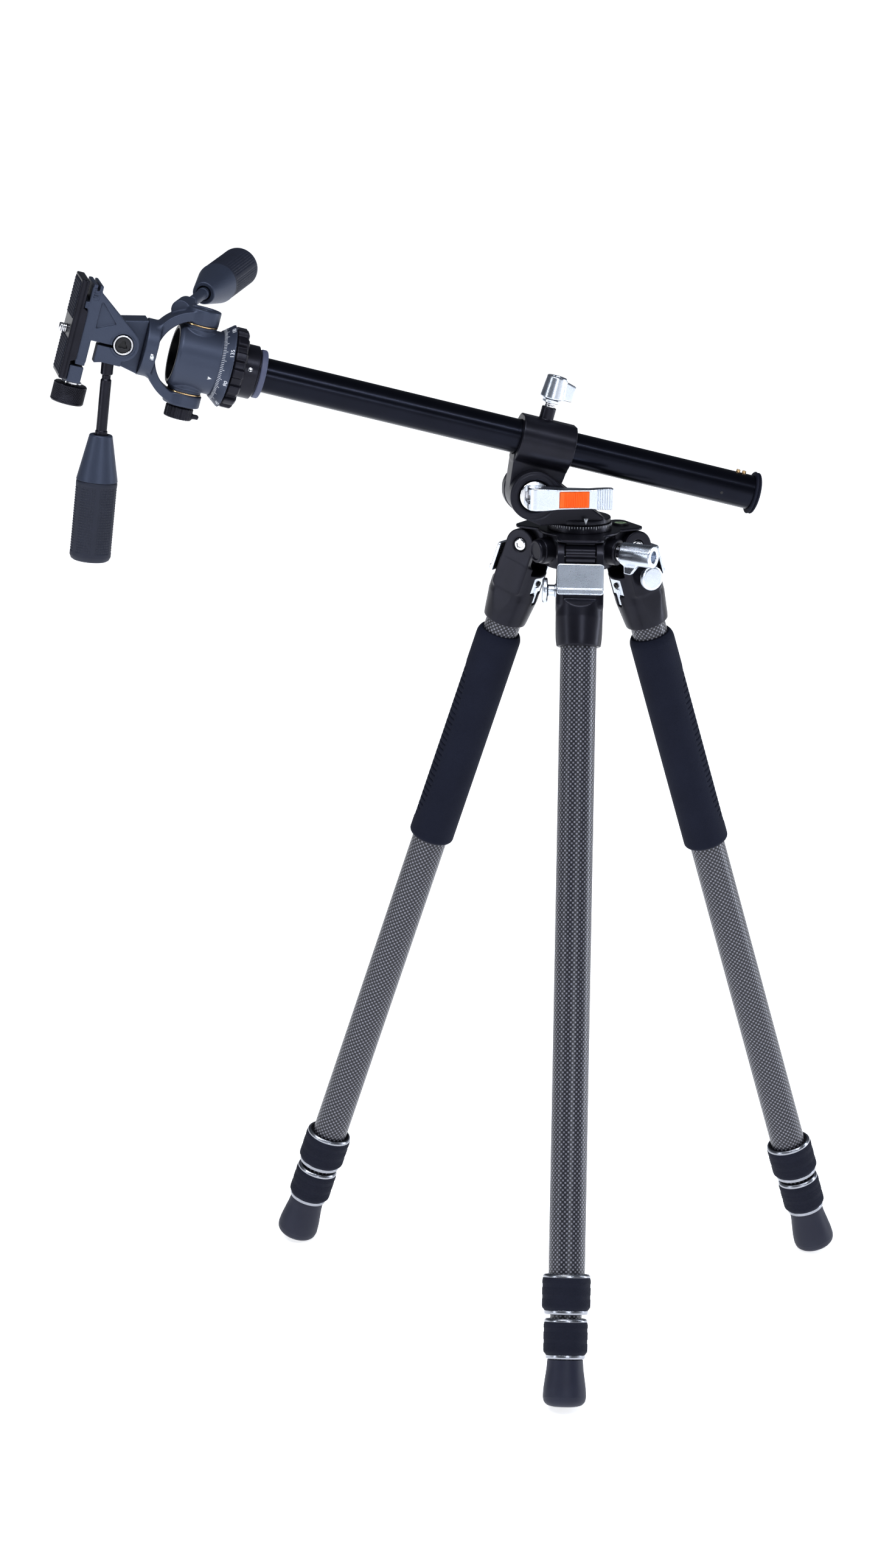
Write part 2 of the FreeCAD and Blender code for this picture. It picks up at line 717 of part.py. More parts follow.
piece("tilt_collar", tilt_collar(), column)
piece("collar_lock_knob",
      winged_knob("collar_knob_radius", "collar_knob_length", "neck_radius", "collar_knob_neck", "wing_reach"),
      column.multiply(Placement(Vector(size("stem_top + clearance"), 0, size("stem_place")),
                                Rotation(Vector(0, 1, 0), 90))))
piece("column_tube", tube("column_radius", "column_radius - column_wall", "-column_tail",
                          "column_nose + column_seat"), column)
piece("column_end_cap", column_end_cap(), column)

# ---- head: pan ----

base_end = "base_ring_length + base_length"
ring_start = f"{base_end} + clearance"
scale_end = f"{pan_start} + pan_scale_length"
trunnion_reach = "pan_radius + trunnion_proud"
pan_end = f"{scale_end} + pan_length"


def head_base():
    """The seat on the column's nose, and the spindle that the head pans on."""
    return turned([
        ("column_radius", "0"),
        ("base_ring_radius", "0"),
        ("base_ring_radius", "base_ring_length"),
        ("base_radius", "base_ring_length"),
        ("base_radius", base_end),
        ("spindle_radius", base_end),
        ("spindle_radius", f"{base_end} + spindle_length"),
        ("0", f"{base_end} + spindle_length"),
        ("0", "column_seat"),
        ("column_radius", "column_seat"),
    ])


def pan_lock_ring():
    """A star-shaped ring round the spindle."""
    ring = tube("lock_ring_radius", "spindle_radius + clearance", ring_start, f"{ring_start} + lock_ring_length")
    lobes = int(size("lock_ring_lobes"))
    notches = []
    for n in range(lobes):
        angle = 2 * math.pi * n / lobes
        middle = size("lock_ring_radius + lobe_notch_radius/2")
        notches.append(rod("lobe_notch_radius", ring_start, f"{ring_start} + lock_ring_length", ALONG_Z,
                           (middle * math.cos(angle), middle * math.sin(angle), 0)))
    return cut(ring, group(*notches))


def pan_housing():
    """The drum that pans: a conical scale, a barrel, and two trunnions for the yoke."""
    spindle_bore = "spindle_radius + running_fit"
    barrel = turned([
        (spindle_bore, pan_start),
        ("pan_radius + pan_scale_flare", pan_start),
        ("pan_radius + 0.8", scale_end),
        ("pan_radius", f"{scale_end} + 0.8"),
        ("pan_radius", f"{pan_end} - 2"),
        ("pan_radius - 1.5", pan_end),
        ("pan_radius - pan_mouth_wall", pan_end),
        ("pan_radius - pan_mouth_wall", f"{pan_end} - pan_mouth_depth"),
        ("0", f"{pan_end} - pan_mouth_depth"),
        ("0", f"{base_end} + spindle_length + clearance"),
        (spindle_bore, f"{base_end} + spindle_length + clearance"),
    ])
    centre = (0, 0, size(tilt_centre))
    trunnions = cut(rod("trunnion_radius", f"-({trunnion_reach})", trunnion_reach, ALONG_X, centre),
                    rod("pan_radius - 3", "0", f"{pan_end} + 10"))
    return cut(fuse(barrel, trunnions), rod("tilt_axle_radius", "-2*pan_radius", "2*pan_radius", ALONG_X, centre))


piece("head_base", head_base(), head)
piece("pan_lock_ring", pan_lock_ring(), head)
piece("pan_housing", pan_housing(), head)
piece("tilt_axle", rod("tilt_axle_radius", f"-({trunnion_reach}) - pad_gap - lower_pad_height - 6",
                       f"{trunnion_reach} + pad_gap + upper_pad_height - 3", ALONG_X), tilting)

# ---- head: front tilt ----

upper_face = f"{trunnion_reach} + pad_gap"
yoke_inner = "(pan_radius + yoke_gap)"
yoke_outer = "(pan_radius + yoke_gap + yoke_thick)"
flange_end = f"{yoke_outer} + 2.5"
handle_turn = Rotation(Vector(1, 0, 0), -(90.0 + size("tilt_handle_swing")))
handle_turn = handle_turn.multiply(Rotation(Vector(0, 1, 0), size("tilt_handle_tip")))
handle_root = Placement(Vector(size("tilt_handle_rise"), 0, size("tilt_handle_place")), handle_turn)


def tilt_yoke():
    """A C of metal from one trunnion round the end of the pan housing to the other, with a flange on its back."""
    ring = cut(
        rod(yoke_outer, "-yoke_width/2", "yoke_width/2", ALONG_Y),
        block((f"-2*{yoke_outer}", f"2*{yoke_outer}"), ("-yoke_width", "yoke_width"), (f"-2*{yoke_outer}", "0")),
    )
    flange = rod("flange_radius", f"{yoke_inner} + 2", flange_end)
    upper = rod("upper_pad_radius", upper_face, f"{upper_face} + upper_pad_height", ALONG_X)
    lower = rod("lower_pad_radius", f"-({upper_face}) - lower_pad_height", f"-({upper_face})", ALONG_X)
    boss = rod("handle_boss_radius", "0", "tilt_handle_start")
    boss.Placement = handle_root
    socket = rod("rod_radius + running_fit", "tilt_handle_start - rod_seat - clearance", "2*tilt_handle_start")
    socket.Placement = handle_root
    hollow = rod(yoke_inner, "-2*yoke_width", "2*yoke_width", ALONG_Y)
    room = block((f"-({upper_face})", upper_face), ("-2*yoke_width", "2*yoke_width"),
                 (f"-{yoke_outer}", f"{yoke_inner}/2"))
    return cut(fuse(cut(fuse(ring, flange, boss), hollow), cut(fuse(upper, lower), room)),
               rod("tilt_axle_radius + running_fit", f"-2*{yoke_outer}", f"2*{yoke_outer}", ALONG_X), socket)


def side_tilt_drum():
    """The drum bolted to the yoke's flange, which holds the side-tilt axle."""
    outline = [("-flange_radius + 1.5", f"{flange_end}", "0"),
               ("flange_radius - 1.5", f"{flange_end}", "0"),
               ("0", "roll_place", "drum_radius")]
    drum = web(outline, "-drum_back", "drum_front", Rotation(Vector(1, 0, 0), 90))
    return cut(drum, rod("roll_axle_radius", "-drum_back - 1", "drum_back + 1", ALONG_Y, (0, 0, size("roll_place"))))


lug_start = "drum_front + clearance"
lug_end = f"{lug_start} + lug_thick"

piece("tilt_yoke", tilt_yoke(), tilting)
piece("side_tilt_drum", side_tilt_drum(), tilting)
piece("side_tilt_axle",
      fuse(rod("roll_axle_radius", f"-({lug_end}) - roll_ring_proud", "drum_back", ALONG_Y),
           rod("roll_ring_radius", f"-({lug_end}) - roll_ring_proud", f"-({lug_end}) + 2", ALONG_Y)), rolling)
wing_back = Rotation(Vector(0, 0, 1), 180)
tilt_knob_place = Placement(Vector(-size(f"{upper_face} + lower_pad_height + clearance"), 0, 0),
                            Rotation(Vector(0, 1, 0), -90).multiply(wing_back))
piece("tilt_lock_knob",
      cut(winged_knob("tilt_knob_radius", "tilt_knob_length", "tilt_knob_radius - 2", "1", "wing_reach"),
          rod("tilt_axle_radius + running_fit", "-1", "tilt_knob_length - 2")),
      tilting.multiply(tilt_knob_place))

# ---- head: side tilt and camera clamp ----

deck_end = "deck_start + deck_length"
side_turn = Rotation(Vector(0, 1, 0), -(90.0 + size("side_handle_lean")))
side_root = Placement(Vector(0, -size("drum_front + clearance + lug_thick/2"), size("side_handle_place")), side_turn)


def clamp_body():
    """The lug on the side-tilt axle, its gusset, the split block for the handle, and the deck for the plate."""
    across = Rotation(Vector(1, 0, 0), 90)
    outline = [("deck_top - gusset_margin", "deck_start + gusset_margin", "0"),
               ("deck_top - gusset_margin", deck_end, "0"),
               ("-deck_bottom + gusset_margin", deck_end, "0"),
               ("-deck_bottom + gusset_margin", "deck_start", "0"),
               ("0", "0", "lug_radius")]
    gusset = web(outline, lug_start, lug_end, across)
    jaw_block = block(("-clamp_block_drop", "0"), (f"-({lug_end})", f"-({lug_start})"), ("-2", "clamp_block_front"))
    slit = block(("-clamp_slit/2 - slit_place", "clamp_slit/2 - slit_place"), ("-2*lug_thick - drum_front", "0"), ("0", "deck_start"))
    deck = block(("-deck_bottom", "deck_top"), ("-deck_width/2", "deck_width/2"), ("deck_start", deck_end))
    dovetail_wall = block(("dovetail_top", "dovetail_top + 5"), ("-deck_width/2", "deck_width/2"),
                          (deck_end, f"{deck_end} + dovetail_thick"))
    gap = block(("-2*deck_bottom", "-slit_place"), ("-2*deck_width", "2*deck_width"), ("clamp_block_front", "deck_start"))
    socket = rod("rod_radius + running_fit", "clamp_block_drop - rod_seat - clearance", "2*clamp_block_drop")
    socket.Placement = side_root
    return cut(
        fuse(cut(fuse(gusset, jaw_block), slit, gap), deck, dovetail_wall),
        rod("roll_axle_radius + running_fit", "-2*deck_width", "2*deck_width", ALONG_Y),
        rod("roll_ring_radius + clearance", "-2*deck_width", f"-({lug_end}) + 2 + clearance", ALONG_Y),
        socket,
    )


def clamp_jaw():
    """The moving jaw under the deck, drawn up by the clamp knob."""
    top = "-deck_bottom - jaw_open"
    heel = block((f"{top} - jaw_height", top), ("-deck_width/2", "deck_width/2"),
                 ("deck_start", f"{deck_end} + dovetail_thick"))
    return cut(heel, rod("clamp_shaft_radius + clearance", "-3*jaw_height", "0", ALONG_X,
                         (0, 0, size("deck_start + deck_length/2"))))


plate_back = f"{deck_end} + dovetail_thick + 0.1"
plate_low = "camera_plate_rise - camera_plate_length"


def camera_plate():
    """The quick-release plate: a wide top on a foot that the clamp holds."""
    half = "camera_plate_width/2"
    top = block((plate_low, "camera_plate_rise"), (f"-{half}", half),
                (plate_back, f"{plate_back} + camera_plate_thick"))
    root = block(("-dovetail_bottom", "dovetail_top"), (f"-{half}", half), (deck_end, plate_back))
    return cut(fuse(top, root), rod("screw_radius + running_fit", deck_end, "2*deck_start + 10"),
               rod("screw_head_radius + clearance", deck_end, f"{deck_end} + screw_head_thick + clearance"))


def clamp_knob():
    """A knurled knob on the screw that draws the jaw up."""
    neck = "clamp_shaft_gap"
    return fuse(rod("clamp_knob_radius", neck, f"{neck} + clamp_knob_length"),
                rod("clamp_shaft_radius", "-jaw_height - jaw_open", neck))


def handle_grip():
    """A cone and a cylinder on the end of the rod, which starts at zero."""
    grip = turned([
        ("0", "0"),
        ("handle_cone_radius", "0"),
        ("handle_radius", "handle_cone_length"),
        ("handle_radius", "handle_length - 3"),
        ("handle_radius - 2.5", "handle_length"),
        ("0", "handle_length"),
    ])
    return cut(grip, rod("rod_radius", "-1", "handle_bore_depth"))


def add_handle(name, root, seat, length):
    """A screwed-in rod and its grip, along +Z of the root."""
    end = f"{seat} + {length}"
    piece(f"{name}_rod", rod("rod_radius", f"{seat} - rod_seat", f"{end} + handle_bore_depth"), root)
    piece(f"{name}_grip", handle_grip(), root.multiply(Placement(Vector(0, 0, size(end)), Rotation())))


piece("clamp_body", clamp_body(), rolling)
piece("clamp_jaw", clamp_jaw(), rolling)
piece("clamp_knob", clamp_knob(),
      rolling.multiply(Placement(Vector(-size("deck_bottom + jaw_open + jaw_height + clearance"), 0,
                                        size("deck_start + deck_length/2")), Rotation(Vector(0, 1, 0), -90))))
piece("camera_plate", camera_plate(), rolling)
plate_face = f"{plate_back} + camera_plate_thick"
piece("camera_screw",
      fuse(rod("screw_radius", plate_face, f"{plate_face} + screw_proud"),
           rod("screw_neck_radius", f"{deck_end} + screw_head_thick", plate_face),
           rod("screw_head_radius", f"{deck_end} + 0.1", f"{deck_end} + screw_head_thick")), rolling)
add_handle("side_handle", rolling.multiply(side_root), "clamp_block_drop", "side_rod_length")
add_handle("tilt_handle", tilting.multiply(handle_root), "tilt_handle_start", "tilt_rod_length")

# ---- the whole stands on its feet, centred under its box ----

doc.recompute()
low = Vector(math.inf, math.inf, math.inf)
high = -low
for item in pieces:
    box = item.Shape.optimalBoundingBox(False)
    low = Vector(min(low.x, box.XMin), min(low.y, box.YMin), min(low.z, box.ZMin))
    high = Vector(max(high.x, box.XMax), max(high.y, box.YMax), max(high.z, box.ZMax))
stand = Placement(Vector(-(low.x + high.x) / 2, -(low.y + high.y) / 2, -low.z), Rotation())
for item in pieces:
    item.Placement = stand.multiply(item.Placement)
doc.recompute()

for item in doc.Objects:
    if "Invalid" in item.State or "Error" in item.State:
        raise SystemExit(f"{item.Label} failed: {item.State}")
for item in pieces:
    if item.Shape.isNull() or not item.Shape.isValid() or not item.Shape.Solids:
        raise SystemExit(f"{item.Label} has no sound solid")

os.makedirs("parts", exist_ok=True)
for item in pieces:
    item.Shape.exportStep(f"parts/{item.Label}.step")
print(len(pieces), "pieces; axis at", round(stand.Base.x, 4), round(stand.Base.y, 4), round(stand.Base.z, 4))
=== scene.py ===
import json
import math

import bpy
import numpy as np
from mathutils import Matrix, Vector


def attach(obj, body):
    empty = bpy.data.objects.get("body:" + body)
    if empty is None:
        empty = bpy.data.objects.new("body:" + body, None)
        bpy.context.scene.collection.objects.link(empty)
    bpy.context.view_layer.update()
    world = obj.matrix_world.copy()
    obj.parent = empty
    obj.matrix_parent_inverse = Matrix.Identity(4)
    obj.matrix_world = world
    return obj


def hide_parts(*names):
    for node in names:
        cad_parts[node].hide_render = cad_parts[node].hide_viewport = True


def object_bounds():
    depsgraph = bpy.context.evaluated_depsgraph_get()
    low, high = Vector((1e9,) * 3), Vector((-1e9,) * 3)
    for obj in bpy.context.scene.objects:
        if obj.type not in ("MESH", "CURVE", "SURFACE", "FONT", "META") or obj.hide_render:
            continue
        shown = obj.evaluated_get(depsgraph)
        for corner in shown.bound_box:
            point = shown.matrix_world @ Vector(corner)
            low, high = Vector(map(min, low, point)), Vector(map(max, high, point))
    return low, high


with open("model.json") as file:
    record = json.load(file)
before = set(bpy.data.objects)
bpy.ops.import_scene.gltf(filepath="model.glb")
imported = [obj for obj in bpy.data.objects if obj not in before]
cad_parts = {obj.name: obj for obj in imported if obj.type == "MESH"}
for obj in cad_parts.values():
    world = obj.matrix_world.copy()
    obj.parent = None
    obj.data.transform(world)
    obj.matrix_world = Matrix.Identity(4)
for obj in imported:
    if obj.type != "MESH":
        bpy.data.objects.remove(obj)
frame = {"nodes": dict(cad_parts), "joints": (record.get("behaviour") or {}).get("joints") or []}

cad_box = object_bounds()

# ---- The studio ----
# A pale paper floor runs out to a white backdrop, under a soft overhead light. A box beside the camera, a long
# narrow lamp above it and a tall strip on each side draw the long highlights on the round black parts.

CAMERA = Vector((-0.0153, -3.4130, 1.2903))
DOWN, LEAN = math.radians(14.42), math.radians(1.20)
SENSOR, LENS = 36.0, 111.8


def look(direction, turn=0.0):
    """Turns a lamp or camera so that it looks along a direction, rolled by an angle."""
    return direction.to_track_quat("-Z", "Y").to_matrix() @ Matrix.Rotation(turn, 3, "Z")


lens = bpy.data.cameras.new("camera")
lens.sensor_width, lens.lens, lens.clip_end = SENSOR, LENS, 200.0
camera = bpy.data.objects.new("camera", lens)
camera.matrix_world = Matrix.Translation(CAMERA) @ look(
    Vector((0, math.cos(DOWN), -math.sin(DOWN))), LEAN).to_4x4()
bpy.context.scene.collection.objects.link(camera)
bpy.context.scene.camera = camera
bpy.context.scene.view_settings.view_transform = "Standard"
bpy.context.scene.view_settings.gamma = 0.84

MIDDLE = (cad_box[0] + cad_box[1]) / 2


def lamp(name, place, size, power, colour):
    """A rectangular lamp that faces the middle of the tripod."""
    data = bpy.data.lights.new(name, "AREA")
    data.shape, data.energy, data.color = "RECTANGLE", power, colour
    data.size, data.size_y = size
    item = bpy.data.objects.new(name, data)
    place = Vector(place)
    item.matrix_world = Matrix.Translation(place) @ look(MIDDLE - place).to_4x4()
    bpy.context.scene.collection.objects.link(item)


lamp("key", (-0.2, -1.55, 2.9), (4.2, 0.16), 62.0, (0.90, 0.94, 1.0))
lamp("front box", (0.8, -3.1, 1.25), (0.9, 0.30), 15.0, (0.90, 0.94, 1.0))
lamp("left strip", (-2.4, -1.3, 0.6), (0.30, 2.2), 15.0, (0.92, 0.96, 1.0))
lamp("right strip", (2.1, 0.4, 0.8), (0.30, 2.0), 22.0, (0.88, 0.93, 1.0))
sky = bpy.data.lights.new("overhead", "SUN")
sky.energy, sky.angle = 0.9, math.radians(50)  # a wide disc, so that its shadows are soft
overhead = bpy.data.objects.new("overhead", sky)
overhead.matrix_world = look(Vector((0.15, 0.35, -1.0))).to_4x4()
bpy.context.scene.collection.objects.link(overhead)
world = bpy.data.worlds.new("studio")
world.use_nodes = True
around = world.node_tree
dim = around.nodes["Background"]
dim.inputs["Color"].default_value, dim.inputs["Strength"].default_value = (0.80, 0.87, 1.0, 1), 0.14
pale, seen, either = (around.nodes.new("ShaderNode" + kind) for kind in ("Background", "LightPath", "MixShader"))
pale.inputs["Color"].default_value = (1.0, 1.0, 1.0, 1)
for start, end in ((seen.outputs["Is Camera Ray"], either.inputs[0]), (dim.outputs[0], either.inputs[1]),
                   (pale.outputs[0], either.inputs[2]), (either.outputs[0], around.nodes["World Output"].inputs[0])):
    around.links.new(start, end)
bpy.context.scene.world = world


class Value:
    """A number worked out by a finish's nodes. Sums with it add Math nodes."""

    def __init__(self, finish, socket):
        self.finish, self.socket = finish, socket

    def __add__(self, other): return self.finish.math("ADD", self, other)
    def __radd__(self, other): return self.finish.math("ADD", other, self)
    def __sub__(self, other): return self.finish.math("SUBTRACT", self, other)
    def __rsub__(self, other): return self.finish.math("SUBTRACT", other, self)
    def __mul__(self, other): return self.finish.math("MULTIPLY", self, other)
    def __rmul__(self, other): return self.finish.math("MULTIPLY", other, self)
    def __truediv__(self, other): return self.finish.math("DIVIDE", self, other)
    def __gt__(self, other): return self.finish.math("GREATER_THAN", self, other)
    def __lt__(self, other): return self.finish.math("LESS_THAN", self, other)
    def __mod__(self, other): return self.finish.math("FLOORED_MODULO", self, other)


class Finish:
    """A surface finish: a material whose nodes are added by node() and joined to its shader by shade()."""

    def __init__(self, name):
        self.material = bpy.data.materials.new(name)
        self.material.use_nodes = True
        self.tree = self.material.node_tree
        self.shader = self.tree.nodes["Principled BSDF"]

    def feed(self, socket, value):
        if isinstance(value, Value):
            self.tree.links.new(value.socket, socket)
        else:
            socket.default_value = value

    def node(self, kind, settings=None, inputs=None, output=0):
        """Adds a node of a type, with its settings, its inputs' values or links, and one of its outputs."""
        made = self.tree.nodes.new("ShaderNode" + kind)
        for name, setting in (settings or {}).items():
            if name == "stops":
                while len(made.color_ramp.elements) < len(setting):
                    made.color_ramp.elements.new(0.5)
                for element, (position, shade) in zip(made.color_ramp.elements, setting):
                    element.position, element.color = position, (shade, shade, shade, 1)
            else:
                setattr(made, name, setting)
        for name, value in (inputs or {}).items():
            self.feed(made.inputs[name], value)
        return Value(self, made.outputs[output])

    def math(self, operation, *values):
        return self.node("Math", {"operation": operation}, dict(enumerate(values)))

    def noise(self, scale, detail=3.0, stretch=(1, 1, 1)):
        """Cloudy grain, so many cells to the metre, at the object's own coordinates."""
        spot = self.node("TexCoord", output="Object")
        spot = self.node("Mapping", None, {"Vector": spot, "Scale": stretch})
        return self.node("TexNoise", None, {"Vector": spot, "Scale": scale, "Detail": detail})

    def ramp(self, value, *stops):
        return self.node("ValToRGB", {"stops": stops}, {0: value})

    def mix(self, share, one, other):
        """The colour that lies a share of the way from one to the other."""
        one, other = ((*c, 1) if isinstance(c, tuple) else c for c in (one, other))
        return self.node("Mix", {"data_type": "RGBA"}, {0: share, 6: one, 7: other}, 2)

    def bump(self, height, depth, strength=1.0):
        return self.node("Bump", None, {"Height": height, "Distance": depth, "Strength": strength})

    def shade(self, **sockets):
        """Sets or joins the shader's own sockets, named with _ for a space."""
        for name, value in sockets.items():
            self.feed(self.shader.inputs[name.replace("_", " ")],
                      (*value, 1) if isinstance(value, tuple) and len(value) == 3 else value)
        return self


paper = Finish("paper")
paper.shade(Base_Color=paper.mix(paper.noise(3.0), (0.90, 0.91, 0.93), (0.95, 0.955, 0.965)), Roughness=0.9,
            Specular_IOR_Level=0.1, Emission_Color=(1.0, 1.0, 1.0), Emission_Strength=0.75)
REACH = 60.0
sweep = bpy.data.meshes.new("floor")
sweep.from_pydata([(-REACH, -REACH, 0), (REACH, -REACH, 0), (REACH, REACH, 0), (-REACH, REACH, 0)], [],
                  [(0, 1, 2, 3)])
sweep.materials.append(paper.material)
floor = bpy.data.objects.new("floor", sweep)
bpy.context.scene.collection.objects.link(floor)

# ---- Where the sub-parts sit ----
# Every moving part turns or slides on a pin, a thread or a tube, so the pins' places and directions
# in the record say where each part is. Shapes are worked out in millimetres along three axes of a part.

joints = {joint["name"]: joint for joint in frame["joints"]}


class Place:
    """A point on the tripod, in metres, and three axes there."""

    def __init__(self, origin, x, z):
        z = np.array(z, float) / np.linalg.norm(z)
        x = np.array(x, float) - z * np.dot(x, z)
        x = x / np.linalg.norm(x)
        self.origin, self.axes = np.array(origin, float), np.array([x, np.cross(z, x), z])

    def put(self, points):
        """Millimetres along the axes, in the row frame's metres."""
        return self.origin + np.asarray(points, float) @ self.axes / 1000

    def inner(self, at=(0, 0, 0), x=(1, 0, 0), z=(0, 0, 1)):
        """A place inside this one, its point and axes given along this one's axes."""
        return Place(self.put(at), np.array(x, float) @ self.axes, np.array(z, float) @ self.axes)


def pin(name):
    return np.array(joints[name]["pos_m"])


def line(name):
    return np.array(joints[name]["axis"])


apex = Place(pin("swivel_turn"), (1, 0, 0), (0, 0, 1))
swivel = Place(pin("swivel_turn"), np.cross(-line("column_tilt"), (0, 0, 1)), (0, 0, 1))
knuckle = swivel.inner((-37.0, 0, 41.5))
column = Place(pin("column_tilt") + 0.037 * line("head_tilt"), line("head_tilt"), line("column_slide"))
NOSE, PAN_START, SCALE_END, PAN_END = 212.0, 26.6, 34.9, 65.9
head = column.inner((0, 0, NOSE))
tilting = Place(pin("head_tilt"), line("head_tilt"), line("column_slide"))
rolling = Place(pin("side_tilt"), line("head_tilt"), line("column_slide"))
LEGS = {"front": -90.0, "left": 150.0, "right": 30.0}
legs = {leg: Place(pin(f"{leg}_leg_spread"), line(f"{leg}_latch_pull"), -line(f"{leg}_upper_slide"))
        for leg in LEGS}

# ---- Carbon tubes ----
# Each leg's three tubes are wound from dark carbon cloth under clear lacquer. The cloth is a plain
# weave, whose crossing tows catch the light in turn; that silvery check is a painted sheen in the base colour.


def swept(rows, ends="caps"):
    """A grid of points, rows by columns, closed round its columns. The first and last rows are each closed
    by a fan to their middle, or joined to each other for a ring."""
    count, around = rows.shape[:2]
    points = rows.reshape(-1, 3)
    last = count if ends == "ring" else count - 1
    row, col = (a.ravel() for a in np.meshgrid(np.arange(last), np.arange(around), indexing="ij"))
    after, beside = (row + 1) % count, (col + 1) % around
    corners = (row, col), (row, beside), (after, beside), (after, col)
    quads = np.stack([r * around + c for r, c in corners], 1)
    steps = np.linalg.norm(np.diff(np.concatenate([rows[:, 0], rows[:1, 0]]), axis=0), axis=1)
    lengths = np.concatenate([[0], np.cumsum(steps)])[: last + 1] / 1000
    turns = np.stack([col, col + 1, col + 1, col], 1) / around
    maps = np.stack([turns, lengths[np.stack([row, row, row + 1, row + 1], 1)]], 2)
    fans = np.zeros((0, 3), int)
    if ends == "caps":
        ring = np.arange(around)
        nearby = (ring + 1) % around
        base = len(points)
        points = np.concatenate([points, rows[0].mean(0)[None], rows[-1].mean(0)[None]])
        end = (count - 1) * around
        fans = np.concatenate([np.stack([np.full(around, base), nearby, ring], 1),
                               np.stack([np.full(around, base + 1), end + ring, end + nearby], 1)])
    return points, quads, fans, maps


def soften(corners, ease):
    """A run of corners (or, closed, a loop) with each corner cut back and rounded by a quadratic curve."""
    corners = np.asarray(corners, float)
    before, after = np.roll(corners, 1, 0) - corners, np.roll(corners, -1, 0) - corners
    near, far = np.linalg.norm(before, axis=1), np.linalg.norm(after, axis=1)
    back = np.minimum(np.broadcast_to(ease, near.shape), np.minimum(near, far) * 0.45)
    start = corners + before * (back / np.maximum(near, 1e-9))[:, None]
    stop = corners + after * (back / np.maximum(far, 1e-9))[:, None]
    t = np.linspace(0, 1, 5)[None, :, None]
    bend = (1 - t) ** 2 * start[:, None] + 2 * t * (1 - t) * corners[:, None] + t ** 2 * stop[:, None]
    return bend.reshape(-1, 2)


def lathe(profile, around=96, ease=0.4, ring=False, waves=None):
    """A profile of radii and heights carried round Z. waves(turn, height, radius) gives each point's radius."""
    profile = np.asarray(profile, float)
    if ring:
        line_of = soften(profile, ease)
    else:
        ends = np.isin(np.arange(len(profile)), (0, len(profile) - 1))
        line_of = soften(profile, np.where(ends, 0, ease))[4:-4]
    line_of = line_of[np.append(True, np.linalg.norm(np.diff(line_of, axis=0), axis=1) > 1e-4)]
    radius, height = line_of[:, :1], line_of[:, 1:]
    turn = np.linspace(0, 2 * np.pi, around, endpoint=False)[None]
    reach = radius + 0 * turn if waves is None else waves(turn, height + 0 * turn, radius + 0 * turn)
    rows = np.stack([reach * np.cos(turn), reach * np.sin(turn), height + 0 * turn], 2)
    return swept(rows, "ring" if ring else "caps")


def piece(name, shells, place, finish, body, stands_for=(), weigh=True):
    """One object made of closed shells in millimetres at a place, turned face outwards."""
    points, quads, fans, maps, count = [], [], [], [], 0
    for spots, squares, threes, chart in shells:
        trios = np.concatenate([squares[:, :3], squares[:, [0, 2, 3]], threes])
        a, b, c = (spots[trios[:, n]] for n in range(3))
        if np.einsum("ij,ij->i", a, np.cross(b, c)).sum() < 0:
            squares, threes, chart = squares[:, ::-1], threes[:, ::-1], chart[:, ::-1]
        points.append(place.put(spots))
        quads.append(squares + count)
        fans.append(threes + count)
        maps.append(chart.reshape(-1, 2))
        count += len(spots)
    fans = np.concatenate(fans)
    mesh = bpy.data.meshes.new(name)
    mesh.from_pydata(np.concatenate(points).tolist(), [], np.concatenate(quads).tolist() + fans.tolist())
    chart = np.concatenate([*maps, np.zeros((3 * len(fans), 2))])
    mesh.uv_layers.new(name="wall").data.foreach_set("uv", chart.astype(np.float32).ravel())
    mesh.shade_smooth()
    mesh.materials.append(finish.material)
    item = bpy.data.objects.new(name, mesh)
    bpy.context.scene.collection.objects.link(item)
    if weigh:
        even = item.modifiers.new("even", "WEIGHTED_NORMAL")
        even.mode, even.weight, even.keep_sharp = "FACE_AREA", 80, True
    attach(item, body)
    if stands_for:
        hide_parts(*stands_for)
    return item


TOW = 1.70


def carbon(name, radius):
    """A check of tows, each cell a pillow (two half waves multiplied) that shapes the bump; alternate cells carry a
    painted sheen, a painted highlight at each middle.
    """
    cloth = Finish(name)
    chart = cloth.node("UVMap", {"uv_map": "wall"})
    parts = {axis: cloth.node("SeparateXYZ", None, {0: chart}, axis) for axis in "XY"}
    across = parts["X"] * float(2 * round(math.pi * radius / TOW))
    along = parts["Y"] * (1000 / TOW)
    check = (cloth.math("FLOOR", across) + cloth.math("FLOOR", along)) % 2.0
    pillow = (cloth.math("SINE", (across % 1.0) * math.pi) * cloth.math("SINE", (along % 1.0) * math.pi))
    streak = cloth.noise(900.0, 2.0)
    # painted sheen: the lit cells are mixed towards a pale grey-blue in the base colour, standing in for the light
    # that the crossing tows reflect
    painted_sheen = cloth.math("POWER", pillow, 0.8) * check * (0.35 + 1.1 * streak)  # the streaks are filaments, which also vary the painted sheen
    cloth.shade(Base_Color=cloth.mix(painted_sheen, (0.014, 0.014, 0.020), (0.30, 0.30, 0.35)),
                Metallic=0.25, Roughness=0.30 + 0.25 * streak,
                Normal=cloth.bump(pillow, 0.00012, 0.5), Coat_Weight=0.35)
    cloth.shader.inputs["Coat Roughness"].default_value = 0.25
    return cloth


